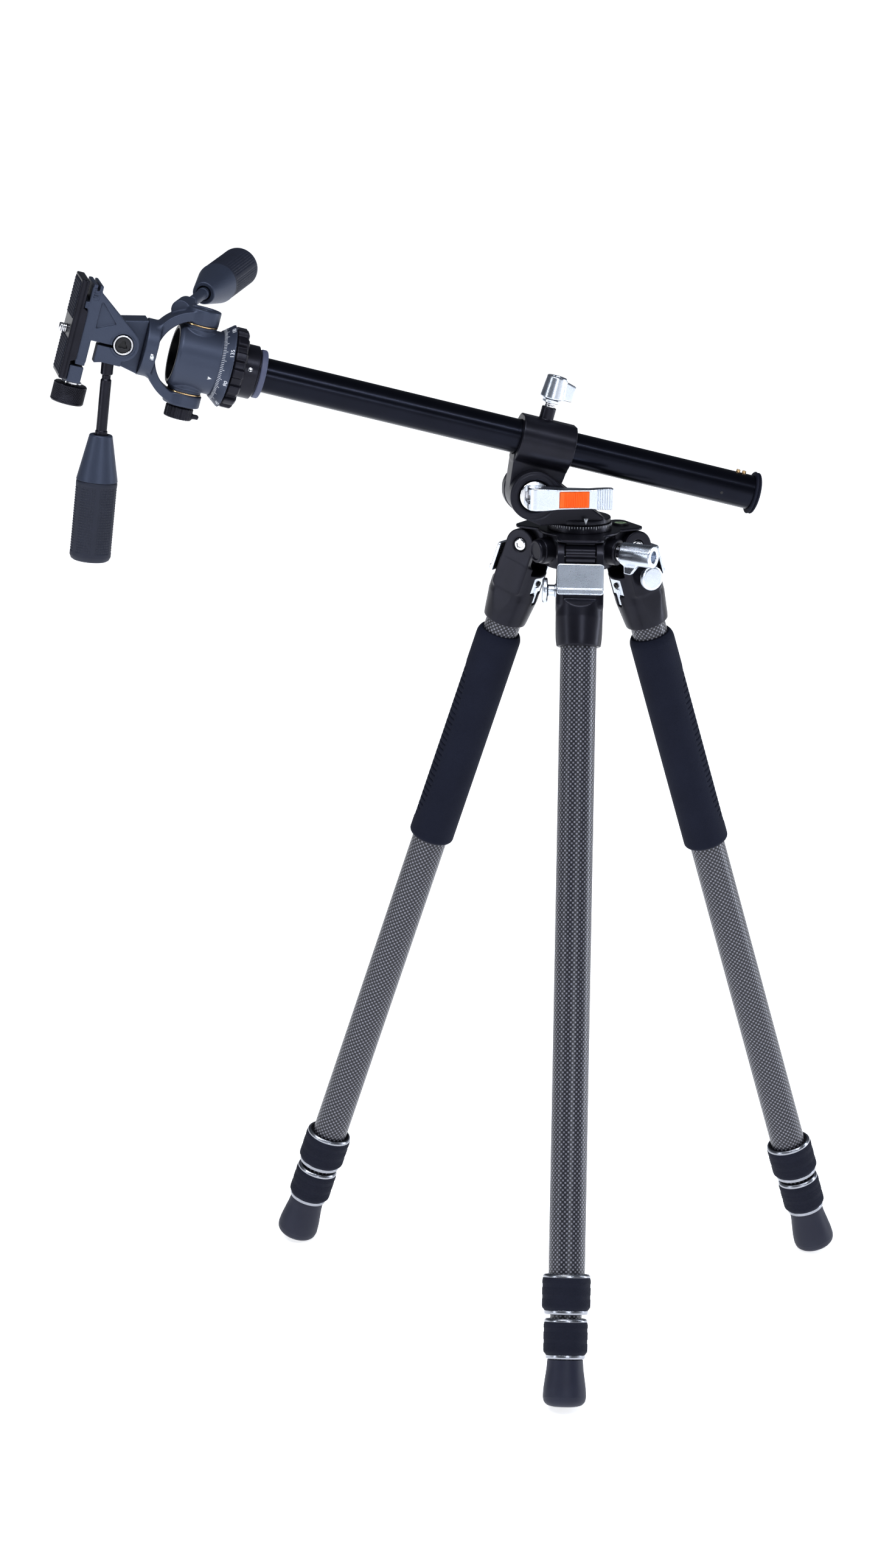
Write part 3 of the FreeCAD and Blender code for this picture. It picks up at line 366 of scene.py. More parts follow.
TUBES = {  # radius, top and end below the hinge
    "upper_tube": (13.0, 34.0, 523.5), "middle_tube": (11.25, 84.0, 554.9), "lower_tube": (9.5, 98.0, 594.4)}
BODY_OF = {"upper_tube": "leg", "middle_tube": "middle_section", "lower_tube": "lower_section"}
WALL, BUSH_LENGTH, BUSH_PROUD = 1.3, 12, 0.4
for tube, (radius, top, end) in TUBES.items():
    cloth = carbon(f"{tube}_carbon", radius)
    bush = [] if tube == "upper_tube" else [lathe(
        [(radius, -top - BUSH_LENGTH), (radius + BUSH_PROUD, -top - BUSH_LENGTH), (radius + BUSH_PROUD, -top),
         (radius, -top)], 64, 0.1, True)]
    for leg, place in legs.items():
        wall = lathe([(radius - WALL, -end), (radius, -end), (radius, -top), (radius - WALL, -top)],
                     96, 0.2, True)
        piece(f"{leg}_{tube}_wall", [wall, *bush], place, cloth, f"{leg}_{BODY_OF[tube]}",
              [f"{leg}_{tube}"])

# ---- Foam grips ----
# A sleeve of closed-cell foam is stretched over the upper tube of the two side legs. Its skin is matt and
# pored, its top rounded over, and an oval panel of fine finger grooves is moulded into the inner side.

GRIP_TOP, GRIP_LENGTH, GRIP_RADIUS, GRIP_BORE = 74.0, 174.0, 16.75, 13.05
PANEL_START, PANEL_END, PANEL_REACH = 29.0, 163.0, math.radians(72)
GROOVE_PITCH, GROOVE_WIDTH, PANEL_DEPTH, GROOVE_DEPTH = 4.35, 0.85, 0.28, 1.0
foam = Finish("grip_foam")
pores = foam.noise(1400.0, 4.0)
blotch = foam.noise(35.0, 3.0)
foam.shade(Base_Color=foam.mix(blotch, (0.008, 0.010, 0.022), (0.014, 0.017, 0.034)),
           Roughness=0.62 + 0.25 * pores, Specular_IOR_Level=0.18,
           Normal=foam.bump(pores, 0.00022, 0.55))


def foam_sleeve():
    """A lathe whose radius drops in an oval panel on the inner side and in a groove every few millimetres."""
    down = np.linspace(0, GRIP_LENGTH, 450)[:, None]
    turn = np.linspace(0, 2 * np.pi, 128, endpoint=False)[None]
    inward = np.abs(turn % (2 * np.pi) - np.pi)
    top_ease, low_ease = np.clip(1 - down / 7.0, 0, 1), np.clip(1 - (GRIP_LENGTH - down) / 2.5, 0, 1)
    shoulder = 2.0 * top_ease ** 2.6 + 1.2 * low_ease ** 2
    middle, reach = (PANEL_START + PANEL_END) / 2, (PANEL_END - PANEL_START) / 2
    share = np.clip(np.abs(down - middle) / reach, 0, 1)
    border = PANEL_REACH * (1 - share ** 7) ** 0.5
    inside = np.clip((border - inward) / 0.06, 0, 1) * (share < 1)
    off_groove = (down - PANEL_START) % GROOVE_PITCH - GROOVE_PITCH / 2
    cutting = np.exp(-(off_groove / (GROOVE_WIDTH / 2)) ** 2)
    radius = GRIP_RADIUS - shoulder - inside * (PANEL_DEPTH + GROOVE_DEPTH * cutting)
    height = -GRIP_TOP - down + 0 * turn
    way = turn + np.pi + 0 * down
    outer, inner = (np.stack([r * np.cos(way), r * np.sin(way), height], 2) for r in (radius, GRIP_BORE))
    return swept(np.concatenate([outer, inner[[-1, 0]]]), "ring")


for leg in ("left", "right"):
    sleeve = piece(f"{leg}_foam_sleeve", [foam_sleeve()], legs[leg], foam, f"{leg}_leg",
                   [f"{leg}_foam_grip"], weigh=False)

# ---- Twist locks ----
# A rubber sleeve moulded with three bands of small lozenges is bonded to a threaded ring between two
# turned aluminium rims, and a black collet lip shows inside the upper rim where the thicker tube ends.

rubber = Finish("lock_rubber")
dust = rubber.noise(700.0, 4.0)
patch = rubber.noise(60.0, 2.0)
rubber.shade(Base_Color=rubber.mix(patch, (0.007, 0.009, 0.020), (0.013, 0.015, 0.030)),
             Roughness=0.55 + 0.3 * dust, Specular_IOR_Level=0.25, Normal=rubber.bump(dust, 0.00006, 0.5))


def turned_metal(name, dark, light, rough, grain=1.0):
    """Bare metal with a fine satin grain: colour and roughness drift between two values."""
    metal = Finish(name)
    cloud, fine = metal.noise(90.0, 2.0), metal.noise(1800.0, 2.0)
    metal.shade(Base_Color=metal.mix(cloud, dark, light), Metallic=1.0,
                Roughness=rough + 0.10 * (fine - 0.5) + 0.05 * cloud,
                Normal=metal.bump(fine, 0.00002 * grain, 0.35))
    return metal


satin_rim = turned_metal("rim_metal", (0.30, 0.31, 0.34), (0.42, 0.43, 0.47), 0.26)
black_lip = Finish("black_lip")
lip_grain = black_lip.noise(500.0)
black_lip.shade(Base_Color=black_lip.mix(lip_grain, (0.006, 0.006, 0.009), (0.012, 0.012, 0.017)),
                Roughness=0.28 + 0.15 * lip_grain)


BEADS_ROUND, BEAD_HEIGHT, BEAD_PROUD = 44, 1.9, 0.22


def lock_sleeve(radius, top, end):
    """A lathe with three bands, in which a lattice of lozenges stands a quarter millimetre proud."""
    def lozenges(turn, height, reach):
        share = (height + end) / (end - top)
        band = np.abs((share * 3.6 - 0.3) % 1.2 - 0.6) < 0.399
        band = band * (share > 0.08) * (share < 0.92)
        a, b = (turn * BEADS_ROUND / 2 + sign * np.pi * height / BEAD_HEIGHT for sign in (1, -1))
        bead = np.clip(np.minimum(np.abs(np.sin(a)), np.abs(np.sin(b))) * 2.2 - 0.5, 0, 1)
        return reach + BEAD_PROUD * bead * band * (reach > radius - 0.3)
    flank = np.linspace(-end + 2.6, -top - 1.2, 64)
    profile = [(radius - 2.2, -end), (radius - 1.6, -end + 0.6)] + [(radius, z) for z in flank] + [
        (radius - 0.5, -top - 0.2), (radius - 2.0, -top)]
    heights = np.array(profile)
    turn = np.linspace(0, 2 * np.pi, 176, endpoint=False)[None]
    reach = lozenges(turn, heights[:, 1:] + 0 * turn, heights[:, :1] + 0 * turn)
    rows = np.stack([reach * np.cos(turn), reach * np.sin(turn), heights[:, 1:] + 0 * turn], 2)
    return swept(rows, "ring")


LOCKS = {  # radius, top below the hinge, outer tube, inner tube
    "upper_lock": (17.1, 512.0, 13.0, 11.25), "lower_lock": (15.55, 543.4, 11.25, 9.5)}
LOCK_LENGTH, SLEEVE_INSET = 28.6, 2.2
for lock, (radius, top, wide, narrow) in LOCKS.items():
    end = top + LOCK_LENGTH
    upper_rim = lathe([(radius - 2.4, -top - 2.6), (radius - 0.15, -top - 2.6), (radius - 0.25, -top - 1.2),
                       (radius - 1.2, -top), (radius - 2.1, -top), (radius - 2.6, -top - 1.0)],
                      96, 0.35, True)
    lower_rim = lathe([(radius - 4.0, -end), (radius - 1.9, -end), (radius - 1.5, -end + 1.0),
                       (radius - 1.5, -end + 2.8), (radius - 4.0, -end + 2.8)], 96, 0.35, True)
    collet = lathe([(narrow + 0.3, -end + 0.4), (radius - 3.8, -end + 0.4), (radius - 3.8, -top - 2.8),
                    (radius - 2.6, -top - 1.6), (radius - 2.7, -top - 0.5), (wide + 0.5, -top - 0.5),
                    (wide + 0.35, -top - 12), (narrow + 0.3, -top - 12)], 96, 0.3, True)
    for leg, place in legs.items():
        body = f"{leg}_{lock}"
        piece(f"{body}_sleeve", [lock_sleeve(radius, top + SLEEVE_INSET, end - SLEEVE_INSET)], place, rubber,
              body, [body], weigh=False)
        piece(f"{body}_rims", [upper_rim, lower_rim], place, satin_rim, body)
        piece(f"{body}_collet", [collet], place, black_lip, body)

# ---- Rubber feet ----
# Each foot is a flared, round-bottomed cone of firm rubber pushed over the end of the lowest tube. The
# skin is smooth, a little dusty towards the sole, with a mould line round the widest part.

tread = Finish("foot_rubber")
smear = tread.noise(45.0, 4.0, (1, 1, 0.4))
skin = tread.noise(900.0, 3.0)
dusty = tread.ramp(smear, (0.45, 0.0), (0.72, 1.0))
tread.shade(Base_Color=tread.mix(dusty, (0.012, 0.014, 0.032), (0.022, 0.025, 0.046)),
            Roughness=0.42 + 0.22 * smear, Specular_IOR_Level=0.45, Normal=tread.bump(skin, 0.00004, 0.4))
SOLE, NECK = 606.0, 572.4
for leg, place in legs.items():
    cone = lathe([(0.1, -SOLE), (8.0, -SOLE + 0.1), (12.4, -SOLE + 1.2), (14.8, -SOLE + 3.6),
                  (15.45, -SOLE + 7.4), (15.35, -SOLE + 7.9), (15.4, -SOLE + 8.4), (15.1, -SOLE + 13.5),
                  (14.2, -SOLE + 20), (13.2, -SOLE + 27), (12.7, -NECK), (11.9, -NECK), (9.7, -NECK),
                  (9.6, -NECK - 20)], 128, 1.6)
    piece(f"{leg}_foot_rubber", [cone], place, tread, f"{leg}_lower_section", [f"{leg}_foot"])

# ---- Leg castings ----
# The leg's top is a black anodised casting: a round socket for the tube that swells into two flat-sided
# ears. Its edges are tumbled round, so it is worked out as a distance field with eased joins.


def meet(*fields, ease=0.6):
    """Where every field is within: the larger of each two, its edge rounded to a quarter circle."""
    whole = fields[0]
    for other in fields[1:]:
        whole = np.minimum(np.maximum(whole, other), -ease) + np.hypot(
            np.maximum(whole + ease, 0), np.maximum(other + ease, 0))
    return whole


def join(*fields, ease=1.0):
    """Where any field is within: the smaller of each two, its crease filled with a quarter circle."""
    return -meet(*[-field for field in fields], ease=ease)


def less(whole, *cuts, ease=0.4):
    return meet(whole, *[-tool for tool in cuts], ease=ease)


def slab(along, low, high):
    return np.maximum(low - along, along - high)


def disc(across, along, radius, at=(0, 0)):
    return np.hypot(across - at[0], along - at[1]) - radius


def band(across, along, circles):
    """Distance from the tight band round circles (across, along and radius of each), taken anticlockwise:
    straight runs, and arcs between them."""
    circles = np.array(circles, float)
    centres, radii = circles[:, :2], circles[:, 2]
    run = np.roll(centres, -1, 0) - centres
    length = np.linalg.norm(run, axis=1)
    lean = np.arcsin((radii - np.roll(radii, -1)) / length)
    ahead = run / length[:, None]
    square = np.stack([ahead[:, 1], -ahead[:, 0]], 1)
    normal = ahead * np.sin(lean)[:, None] + square * np.cos(lean)[:, None]
    nearest = np.full(np.broadcast(across, along).shape, -1e9)
    for (cx, cy), (nx, ny), radius in zip(centres, normal, radii):
        nearest = np.maximum(nearest, (across - cx) * nx + (along - cy) * ny - radius)
    angle = np.arctan2(normal[:, 1], normal[:, 0])
    for n, ((cx, cy), radius) in enumerate(zip(centres, radii)):
        sweep = (angle[n] - angle[n - 1]) % (2 * np.pi)
        bearing = (np.arctan2(along - cy, across - cx) - angle[n - 1]) % (2 * np.pi)
        nearest = np.where(bearing <= sweep, np.hypot(across - cx, along - cy) - radius, nearest)
    return nearest


NUDGE = 0.03


def cast(field, low, high, pitch=0.6):
    """The skin where field(x, y, z) is nought, over a lattice in a box. Each cell that it crosses gets a point
    at the mean of its crossings, drawn down the field's slope onto it. Cells round a crossed edge share a
    quad."""
    low, high = np.array(low, float), np.array(high, float)
    counts = np.ceil((high - low) / pitch).astype(int) + 1
    lattice = np.meshgrid(*[low[a] + pitch * np.arange(counts[a]) for a in range(3)], indexing="ij",
                          sparse=True)
    value = np.broadcast_to(field(*lattice), tuple(counts)).astype(np.float32)
    inside = value < 0
    total, hits = np.zeros((*(counts - 1), 3), np.float32), np.zeros(counts - 1, np.float32)
    for axis in range(3):
        others = [a for a in range(3) if a != axis]
        depth, mean, seen = (np.moveaxis(grid, axis, 0) for grid in (value, total, hits))
        crossed = (depth[:-1] < 0) != (depth[1:] < 0)
        share = np.where(crossed, depth[:-1] / np.where(crossed, depth[:-1] - depth[1:], 1), 0)
        wide, tall = seen.shape[1:]
        for v in (0, 1):
            for w in (0, 1):
                hit = crossed[:, v:v + wide, w:w + tall]
                seen += hit
                mean[..., axis] += share[:, v:v + wide, w:w + tall]
                mean[..., others[0]] += v * hit
                mean[..., others[1]] += w * hit
    used = hits > 0
    index = np.full(hits.shape, -1)
    index[used] = np.arange(used.sum())
    points = low + pitch * (np.argwhere(used) + total[used] / hits[used][:, None])
    for _ in range(4):
        rises = [field(*(points + step).T) - field(*(points - step).T) for step in np.eye(3) * NUDGE]
        slope = np.stack(rises, 1) / (2 * NUDGE)
        push = slope * (field(*points.T) / np.maximum((slope ** 2).sum(1), 0.1))[:, None]
        points -= np.clip(push, -pitch / 3, pitch / 3)
    quads = []
    for axis in range(3):
        solid, near = np.moveaxis(inside, axis, 0), np.moveaxis(index, axis, 0)
        start, stop = solid[:-1, 1:-1, 1:-1], solid[1:, 1:-1, 1:-1]
        i, j, k = np.nonzero(start != stop)
        loop = np.stack([near[i, j, k], near[i, j + 1, k], near[i, j + 1, k + 1], near[i, j, k + 1]], 1)
        back = start[i, j, k] == (axis == 1)
        quads.append(np.where(back[:, None], loop[:, ::-1], loop))
    quads = np.concatenate(quads)
    return points, quads, np.zeros((0, 3), int), np.zeros((len(quads), 4, 2))


def anodised(name, dark, light, rough):
    """Blasted aluminium dyed black: a fine grain in the gloss, a faint blue drift in the colour."""
    skin = Finish(name)
    cloud, grain = skin.noise(70.0, 3.0), skin.noise(2200.0, 2.0)
    skin.shade(Base_Color=skin.mix(cloud, dark, light), Metallic=0.55,
               Roughness=rough + 0.16 * (grain - 0.5) + 0.06 * cloud, Normal=skin.bump(grain, 0.00003, 0.4))
    return skin


black = anodised("black_anodised", (0.010, 0.010, 0.016), (0.020, 0.020, 0.032), 0.30)
EAR, HALF, SLOT, SEAT = 11.5, 17.0, 11.3, 14.2


def casting(x, y, z):
    """A tapering barrel clipped by two flats, joined to a slab of ears, less the slot, socket, seats and holes."""
    girth = np.interp(z, [-64, -61, -43, -24], [15.8, 16.3, 18.5, 18.5])
    barrel = meet(np.hypot(x, y) - girth, slab(y, -HALF, HALF), slab(z, -64, -15))
    outline = band(x, z, [(0, 0, EAR), (-EAR + 2, -34, 2), (EAR - 2, -34, 2)])
    ears = meet(outline, slab(y, -HALF, HALF), ease=0.8)
    body = meet(join(barrel, ears, ease=3.0), slab(y, -HALF, HALF), ease=0.8)
    scallop = meet(SEAT - x, (-31 - 1.3 * (x - SEAT) - z) / 1.64, ease=0.3)
    sockets = meet(disc(x, y, 13.05), z + 34, ease=0.2)
    slot = meet(slab(y, -SLOT, SLOT), -20 - z, ease=0.8)
    heads = meet(disc(x, z, 5.3), 14.8 - np.abs(y), ease=0.2)
    channel = meet(slab(y, -5.3, 5.3), slab(z, -27.4, -21.6), -3.4 - x, ease=0.3)
    latch = meet(slab(y, -7.4, 7.4), slab(z, -35.5, -22), x + 15.2, ease=0.4)
    strip = meet(slab(y, -2.6, 2.6), slab(z, -44, -30), x + 16.2, ease=0.4)
    return less(body, slot, scallop, sockets, heads, channel, latch, strip, ease=0.5)


shell = cast(casting, (-20, -18.5, -65.5), (20, 18.5, 13), 0.68)
for leg, place in legs.items():
    piece(f"{leg}_casting_body", [shell], place, black, f"{leg}_leg", [f"{leg}_leg_casting"],
          weigh=False)

# ---- Angle latches ----
# A silver tab on the outer face is pulled out to free the leg, and its steel plate shows on the inner
# face, held by a black screw. The tab is a pressed plate with round corners and a turned-out lip.

silver = turned_metal("silver_metal", (0.58, 0.62, 0.70), (0.72, 0.76, 0.82), 0.26)
TAB_LOW, TAB_HIGH, TAB_HALF = -28.4, -6.0, 16.7


def tab(x, y, z):
    """A plate with its corners rounded, which steps out below a bend, joined to the tongue behind it."""
    face = band(y, z, [(-TAB_HALF + 2.2, TAB_LOW + 2.2, 2.2), (TAB_HALF - 2.2, TAB_LOW + 2.2, 2.2),
                       (TAB_HALF - 2.2, TAB_HIGH - 2.2, 2.2), (-TAB_HALF + 2.2, TAB_HIGH - 2.2, 2.2)])
    front = 17.0 + 0.7 * np.clip((TAB_LOW + 4.6 - z) / 0.5, 0, 1)
    plate = meet(face, np.maximum(SEAT + 0.35 - x, x - front), ease=0.5)
    tongue = meet(slab(x, -3, 16), slab(y, -5, 5), slab(z, -27, -22), ease=0.3)
    return np.minimum(plate, tongue)


tab_shell = cast(tab, (-4, -17.8, -29.6), (19, 17.8, -4.8), 0.5)
screw_head = lathe([(0.1, 0.6), (1.0, 0.6), (1.1, 1.3), (1.9, 1.5), (2.1, 1.0), (2.1, -1.5), (0.1, -1.5)],
                   32, 0.2)


def inner_plate(x, y, z):
    """A plate with a short strip hanging from it."""
    wide = meet(slab(y, -7.0, 7.0), slab(z, -35.2, -22.3), slab(x, -16.6, -15.0), ease=0.5)
    hanging = meet(slab(y, -2.2, 2.2), slab(z, -43.6, -30), slab(x, -17.4, -16.0), ease=0.4)
    return np.minimum(wide, hanging)


plate_shell = cast(inner_plate, (-18.2, -8, -44.8), (-14.2, 8, -21.2), 0.4)
for leg, place in legs.items():
    piece(f"{leg}_latch_tab", [tab_shell], place, silver, f"{leg}_latch",
          [f"{leg}_angle_latch"], weigh=False)
    piece(f"{leg}_latch_plate", [plate_shell], place, silver, f"{leg}_leg", weigh=False)
    screw_place = place.inner((-16.4, 0, -27.5), (0, 1, 0), (-1, 0, 0))
    piece(f"{leg}_latch_screw", [screw_head], screw_place, black_lip, f"{leg}_leg")

# ---- Strap studs and pivot bolts ----
# A turned aluminium mushroom stud is screwed into one side of each casting. Each leg turns on a chromed
# bolt, whose two domed heads lie in the ears with a hexagon socket in each.

chrome = turned_metal("chrome_steel", (0.60, 0.60, 0.62), (0.74, 0.74, 0.76), 0.10, 0.4)
stud = lathe([(0.1, 10.0), (7.6, 9.9), (8.9, 9.2), (9.1, 8.4), (9.1, 6.8), (8.6, 6.1), (4.6, 6.0), (4.25, 5.5),
              (4.25, 1.0), (5.0, 0.6), (5.0, -1.0), (0.1, -1.0)], 96, 0.5)
SHANK, SOCKET, SOCKET_FLAT = 3.0, 2.65, 2.3


def hexagon(turn, depth, reach):
    """Radius of a six-sided socket inside a bore, and the round head outside it."""
    flat = SOCKET_FLAT / np.cos((turn % (np.pi / 3)) - np.pi / 6)
    return np.where(reach < 2.9, reach * flat / SOCKET, reach)


bolt_head = lathe([(0.1, 0.2), (SOCKET, 0.25), (SOCKET, 1.75), (3.2, 1.85), (4.3, 1.55), (4.8, 0.9), (4.85, 0.0),
                   (4.85, -0.6), (3.0, -0.6), (3.0, -8.0), (0.1, -8.0)], 96, 0.2, waves=hexagon)
shank = lathe([(0.1, -16), (SHANK, -16), (SHANK, 16), (0.1, 16)], 48, 0.2)
heads = []
for leg, place in legs.items():
    stud_place = place.inner((0, -HALF, -23.6), (1, 0, 0), (0, -1, 0))
    piece(f"{leg}_stud", [stud], stud_place, silver, f"{leg}_leg", [f"{leg}_strap_stud"])
    for side, sign in (("near", -1), ("far", 1)):
        heads.append(f"{leg}_{side}_bolt_head")
        piece(heads[-1], [bolt_head], place.inner((0, sign * 15.0, 0), (1, 0, 0), (0, sign, 0)), chrome,
              "canopy", ["leg_pivot_bolts"] if len(heads) == 1 else ())
    piece(f"{leg}_bolt_shank", [shank], place.inner((0, 0, 0), (1, 0, 0), (0, 1, 0)), chrome, "canopy")

# ---- Canopy ----
# The casting that joins the legs: a hub and three lugs under a thin top plate with bright-cut edges, and
# two round bosses for the locking knob and a blanking plug. The lugs' outer faces are ribbed.

ROUND_BORE, PLATE_LOW, PLATE_HIGH = 13.2, 12.2, 14.2
HINGE, LUG_HALF, RIB_PROUD, RIB_PITCH = 40, 10.9, 0.55, 4.1


def rotated(x, y, azimuth):
    c, s = math.cos(math.radians(azimuth)), math.sin(math.radians(azimuth))
    return x * c + y * s, y * c - x * s


def canopy(x, y, z):
    """A hub, lugs and bosses joined with fillets, a flat plate over them, and a bore through the middle."""
    radius = np.hypot(x, y)
    hub = meet(radius - 25, slab(z, -13, PLATE_LOW + 0.5), ease=1.5)
    body, top = hub, radius - 30
    for azimuth in LEGS.values():
        out, side = rotated(x, y, azimuth)
        rib = RIB_PROUD * np.clip(1.6 * np.cos(z * 2 * np.pi / RIB_PITCH + 0.8), -1, 1)
        lug = meet(disc(out, z, EAR + rib - 0.6, (HINGE, 0)), slab(side, -LUG_HALF, LUG_HALF), ease=0.3)
        neck = meet(slab(out, 18, HINGE + 2), slab(side, -LUG_HALF, LUG_HALF), slab(z, -EAR, PLATE_LOW + 0.5),
                    ease=0.8)
        body = join(body, np.minimum(lug, neck), ease=2.0)
        top = np.minimum(top, band(out, side, [(0, 0, 17), (HINGE - 0.5, -10.5, 6.5), (HINGE - 0.5, 10.5, 6.5)]))
    for azimuth in (-30.0, -150.0):
        out, side = rotated(x, y, azimuth)
        body = join(body, meet(np.hypot(side, z) - 9.5, slab(out, 0, 33), ease=0.6), ease=2.0)
    plate = meet(top, slab(z, PLATE_LOW, PLATE_HIGH), ease=0.5)
    return meet(join(body, plate, ease=0.8), ROUND_BORE - radius, ease=0.4)


piece("canopy_body", [cast(canopy, (-53, -53, -14.2), (53, 53, 15.4), 0.74)], apex, black, "canopy",
      ["canopy"], weigh=False)
RIM, RING_TOP = 23.3, PLATE_HIGH + 5.5
ring = lathe([(ROUND_BORE, PLATE_HIGH), (RIM, PLATE_HIGH), (RIM, RING_TOP), (ROUND_BORE, RING_TOP)],
             160, 0.35, True)
piece("scale_ring_body", [ring], apex, black, "canopy", ["swivel_scale_ring"])

# ---- Printed marks ----
# Scales, arrows and numbers are printed in white ink. Each mark is a slip of ink a few hundredths of a
# millimetre thick, laid on the wall below it.

ink = Finish("white_ink")
speck = ink.noise(1500.0, 2.0)
ink.shade(Base_Color=ink.mix(speck, (0.62, 0.64, 0.68), (0.80, 0.81, 0.84)), Roughness=0.5 + 0.2 * speck)


def slips(outline, middles, across, upward, outward, thick=0.12):
    """Copies of a flat outline of corners, each laid at a middle along its own two directions, as thin prisms."""
    outline = np.asarray(outline, float)
    n = len(outline)
    flat = (middles[:, None] + outline[None, :, :1] * across[:, None] + outline[None, :, 1:] * upward[:, None])
    half = thick / 2 * outward[:, None]
    points = np.stack([flat - half, flat + half], 1).reshape(-1, 3)
    base = np.arange(len(middles))[:, None, None] * 2 * n
    k = np.arange(n)
    sides = np.stack([k, (k + 1) % n, n + (k + 1) % n, n + k], 1)[None] + base
    trios = np.stack([np.zeros(n - 2, int), k[2:], k[1:-1]], 1)
    caps = np.concatenate([trios, n + trios[:, ::-1]])[None] + base
    quads = sides.reshape(-1, 4)
    return points, quads, caps.reshape(-1, 3), np.zeros((len(quads), 4, 2))


def round_scale(steps, radius, height, long, short, every, wide, slope=0.0):
    """Ticks round Z on a cylinder or cone whose wall leans by slope, every so many of them long."""
    turn = np.linspace(0, 2 * np.pi, steps, endpoint=False)
    shells = []
    for tall, chosen in ((long, np.arange(steps) % every == 0), (short, np.arange(steps) % every != 0)):
        angle = turn[chosen]
        out = np.stack([np.cos(angle), np.sin(angle), 0 * angle], 1)
        beside = np.stack([-np.sin(angle), np.cos(angle), 0 * angle], 1)
        up = np.array([0, 0, math.cos(slope)]) - out * math.sin(slope)
        outward = out * math.cos(slope) + np.array([0, 0, math.sin(slope)])
        middle = out * radius + np.array([0, 0, height]) + up * tall / 2
        box = [(-wide / 2, -tall / 2), (wide / 2, -tall / 2), (wide / 2, tall / 2), (-wide / 2, tall / 2)]
        shells.append(slips(box, middle, beside, up, outward))
    return shells


piece("scale_ring_marks", round_scale(72, RIM, RING_TOP - 0.3, -2.6, -1.6, 5, 0.32), apex, ink, "canopy",
      weigh=False)

# ---- Bubble level ----
# A round vial of green spirit under a clear dome, in a black cup on the right arm of the canopy, with a
# printed ring that the bubble is centred in.

vial = Finish("level_vial")
depth = vial.noise(240.0, 2.0)
vial.shade(Base_Color=vial.mix(depth, (0.40, 0.60, 0.30), (0.55, 0.74, 0.42)), Roughness=0.05 + 0.05 * depth,
           Coat_Weight=1.0)
LEVEL_OUT = 35
bearing = math.radians(30)
LEVEL = apex.inner((LEVEL_OUT * math.cos(bearing), LEVEL_OUT * math.sin(bearing), PLATE_HIGH))
cup = lathe([(4.9, 0.0), (6.0, 0.0), (6.0, 1.2), (5.7, 1.5), (5.0, 1.5), (4.9, 1.2)], 64, 0.15, True)
dome = lathe([(0.1, 1.5), (2.5, 1.45), (4.2, 1.25), (4.95, 0.9), (4.95, 0.1), (0.1, 0.1)], 64, 0.3)
target = lathe([(1.6, 1.50), (1.9, 1.50), (1.9, 1.56), (1.6, 1.56)], 48, 0.02, True)
piece("level_cup", [cup], LEVEL, black_lip, "canopy", ["bubble_level"])
piece("level_dome", [dome], LEVEL, vial, "canopy")
piece("level_target", [target], LEVEL, black_lip, "canopy")

# ---- Canopy knob and plug ----
# The knob is a cast aluminium thumb screw: a chromed collar, a drum with one swept wing and a blind hole
# in its end. The plug across from it is a plain black cap with a turned edge and a coin slot.


def winged(radius, low, high, wing_reach, wing_low, wing_high, hole):
    """A drum joined to one wing that leans back from its tip, with a blind hole, as a distance field."""
    def field(x, y, z):
        drum = meet(np.hypot(x, y) - radius, slab(z, low, high), ease=0.9)
        outline = [(0, wing_low + 1, 1.0), (wing_reach - 1.2, wing_low + 1, 1.0),
                   (wing_reach - 1.2, wing_low + 5, 1.2), (2, wing_high - 1, 1.0)]
        wing = meet(band(x, z, outline), np.abs(y) - (3.0 - 0.06 * x), ease=0.8)
        return less(join(drum, wing, ease=2.2), meet(np.hypot(x, y) - hole, high - 6 - z, ease=0.3), ease=0.6)
    return field


body = cast(winged(8.25, 3.0, 28.5, 15, 5.0, 20.0, 4.2), (-10, -10, 2), (16.5, 10, 29.6), 0.45)
collar = lathe([(0.1, 0.0), (6.8, 0.0), (6.8, 3.1), (0.1, 3.1)], 96, 0.35)
knob_place = Place(pin("canopy_knob_turn"), (0, 0, -1), line("canopy_knob_turn"))
piece("canopy_knob_body", [body], knob_place, silver, "canopy_knob", ["canopy_lock_knob"],
      weigh=False)
piece("canopy_knob_collar", [collar], knob_place, chrome, "canopy_knob")
bearing = math.radians(-150)
plug_place = apex.inner((33 * math.cos(bearing), 33 * math.sin(bearing), 0), (0, 0, 1),
                        (math.cos(bearing), math.sin(bearing), 0))
plug = lathe([(0.1, 3.2), (5.8, 3.2), (6.2, 4.0), (7.6, 4.0), (8.5, 3.2), (8.5, -0.5), (0.1, -0.5)], 96, 0.4)
piece("port_plug", [plug], plug_place, black, "canopy", ["accessory_port_plug"])

# ---- Swivel base ----
# A disc that turns on the scale ring rises in one wedge to a fork for the knuckle. It is machined from
# black anodised bar, with a turned recess for the washer and a white arrow over the scale.

BASE_LOW, FOOT_THICK, BASE_RADIUS = 20.0, 3.4, 22.5
AXLE_AT = (-37, 41.5)


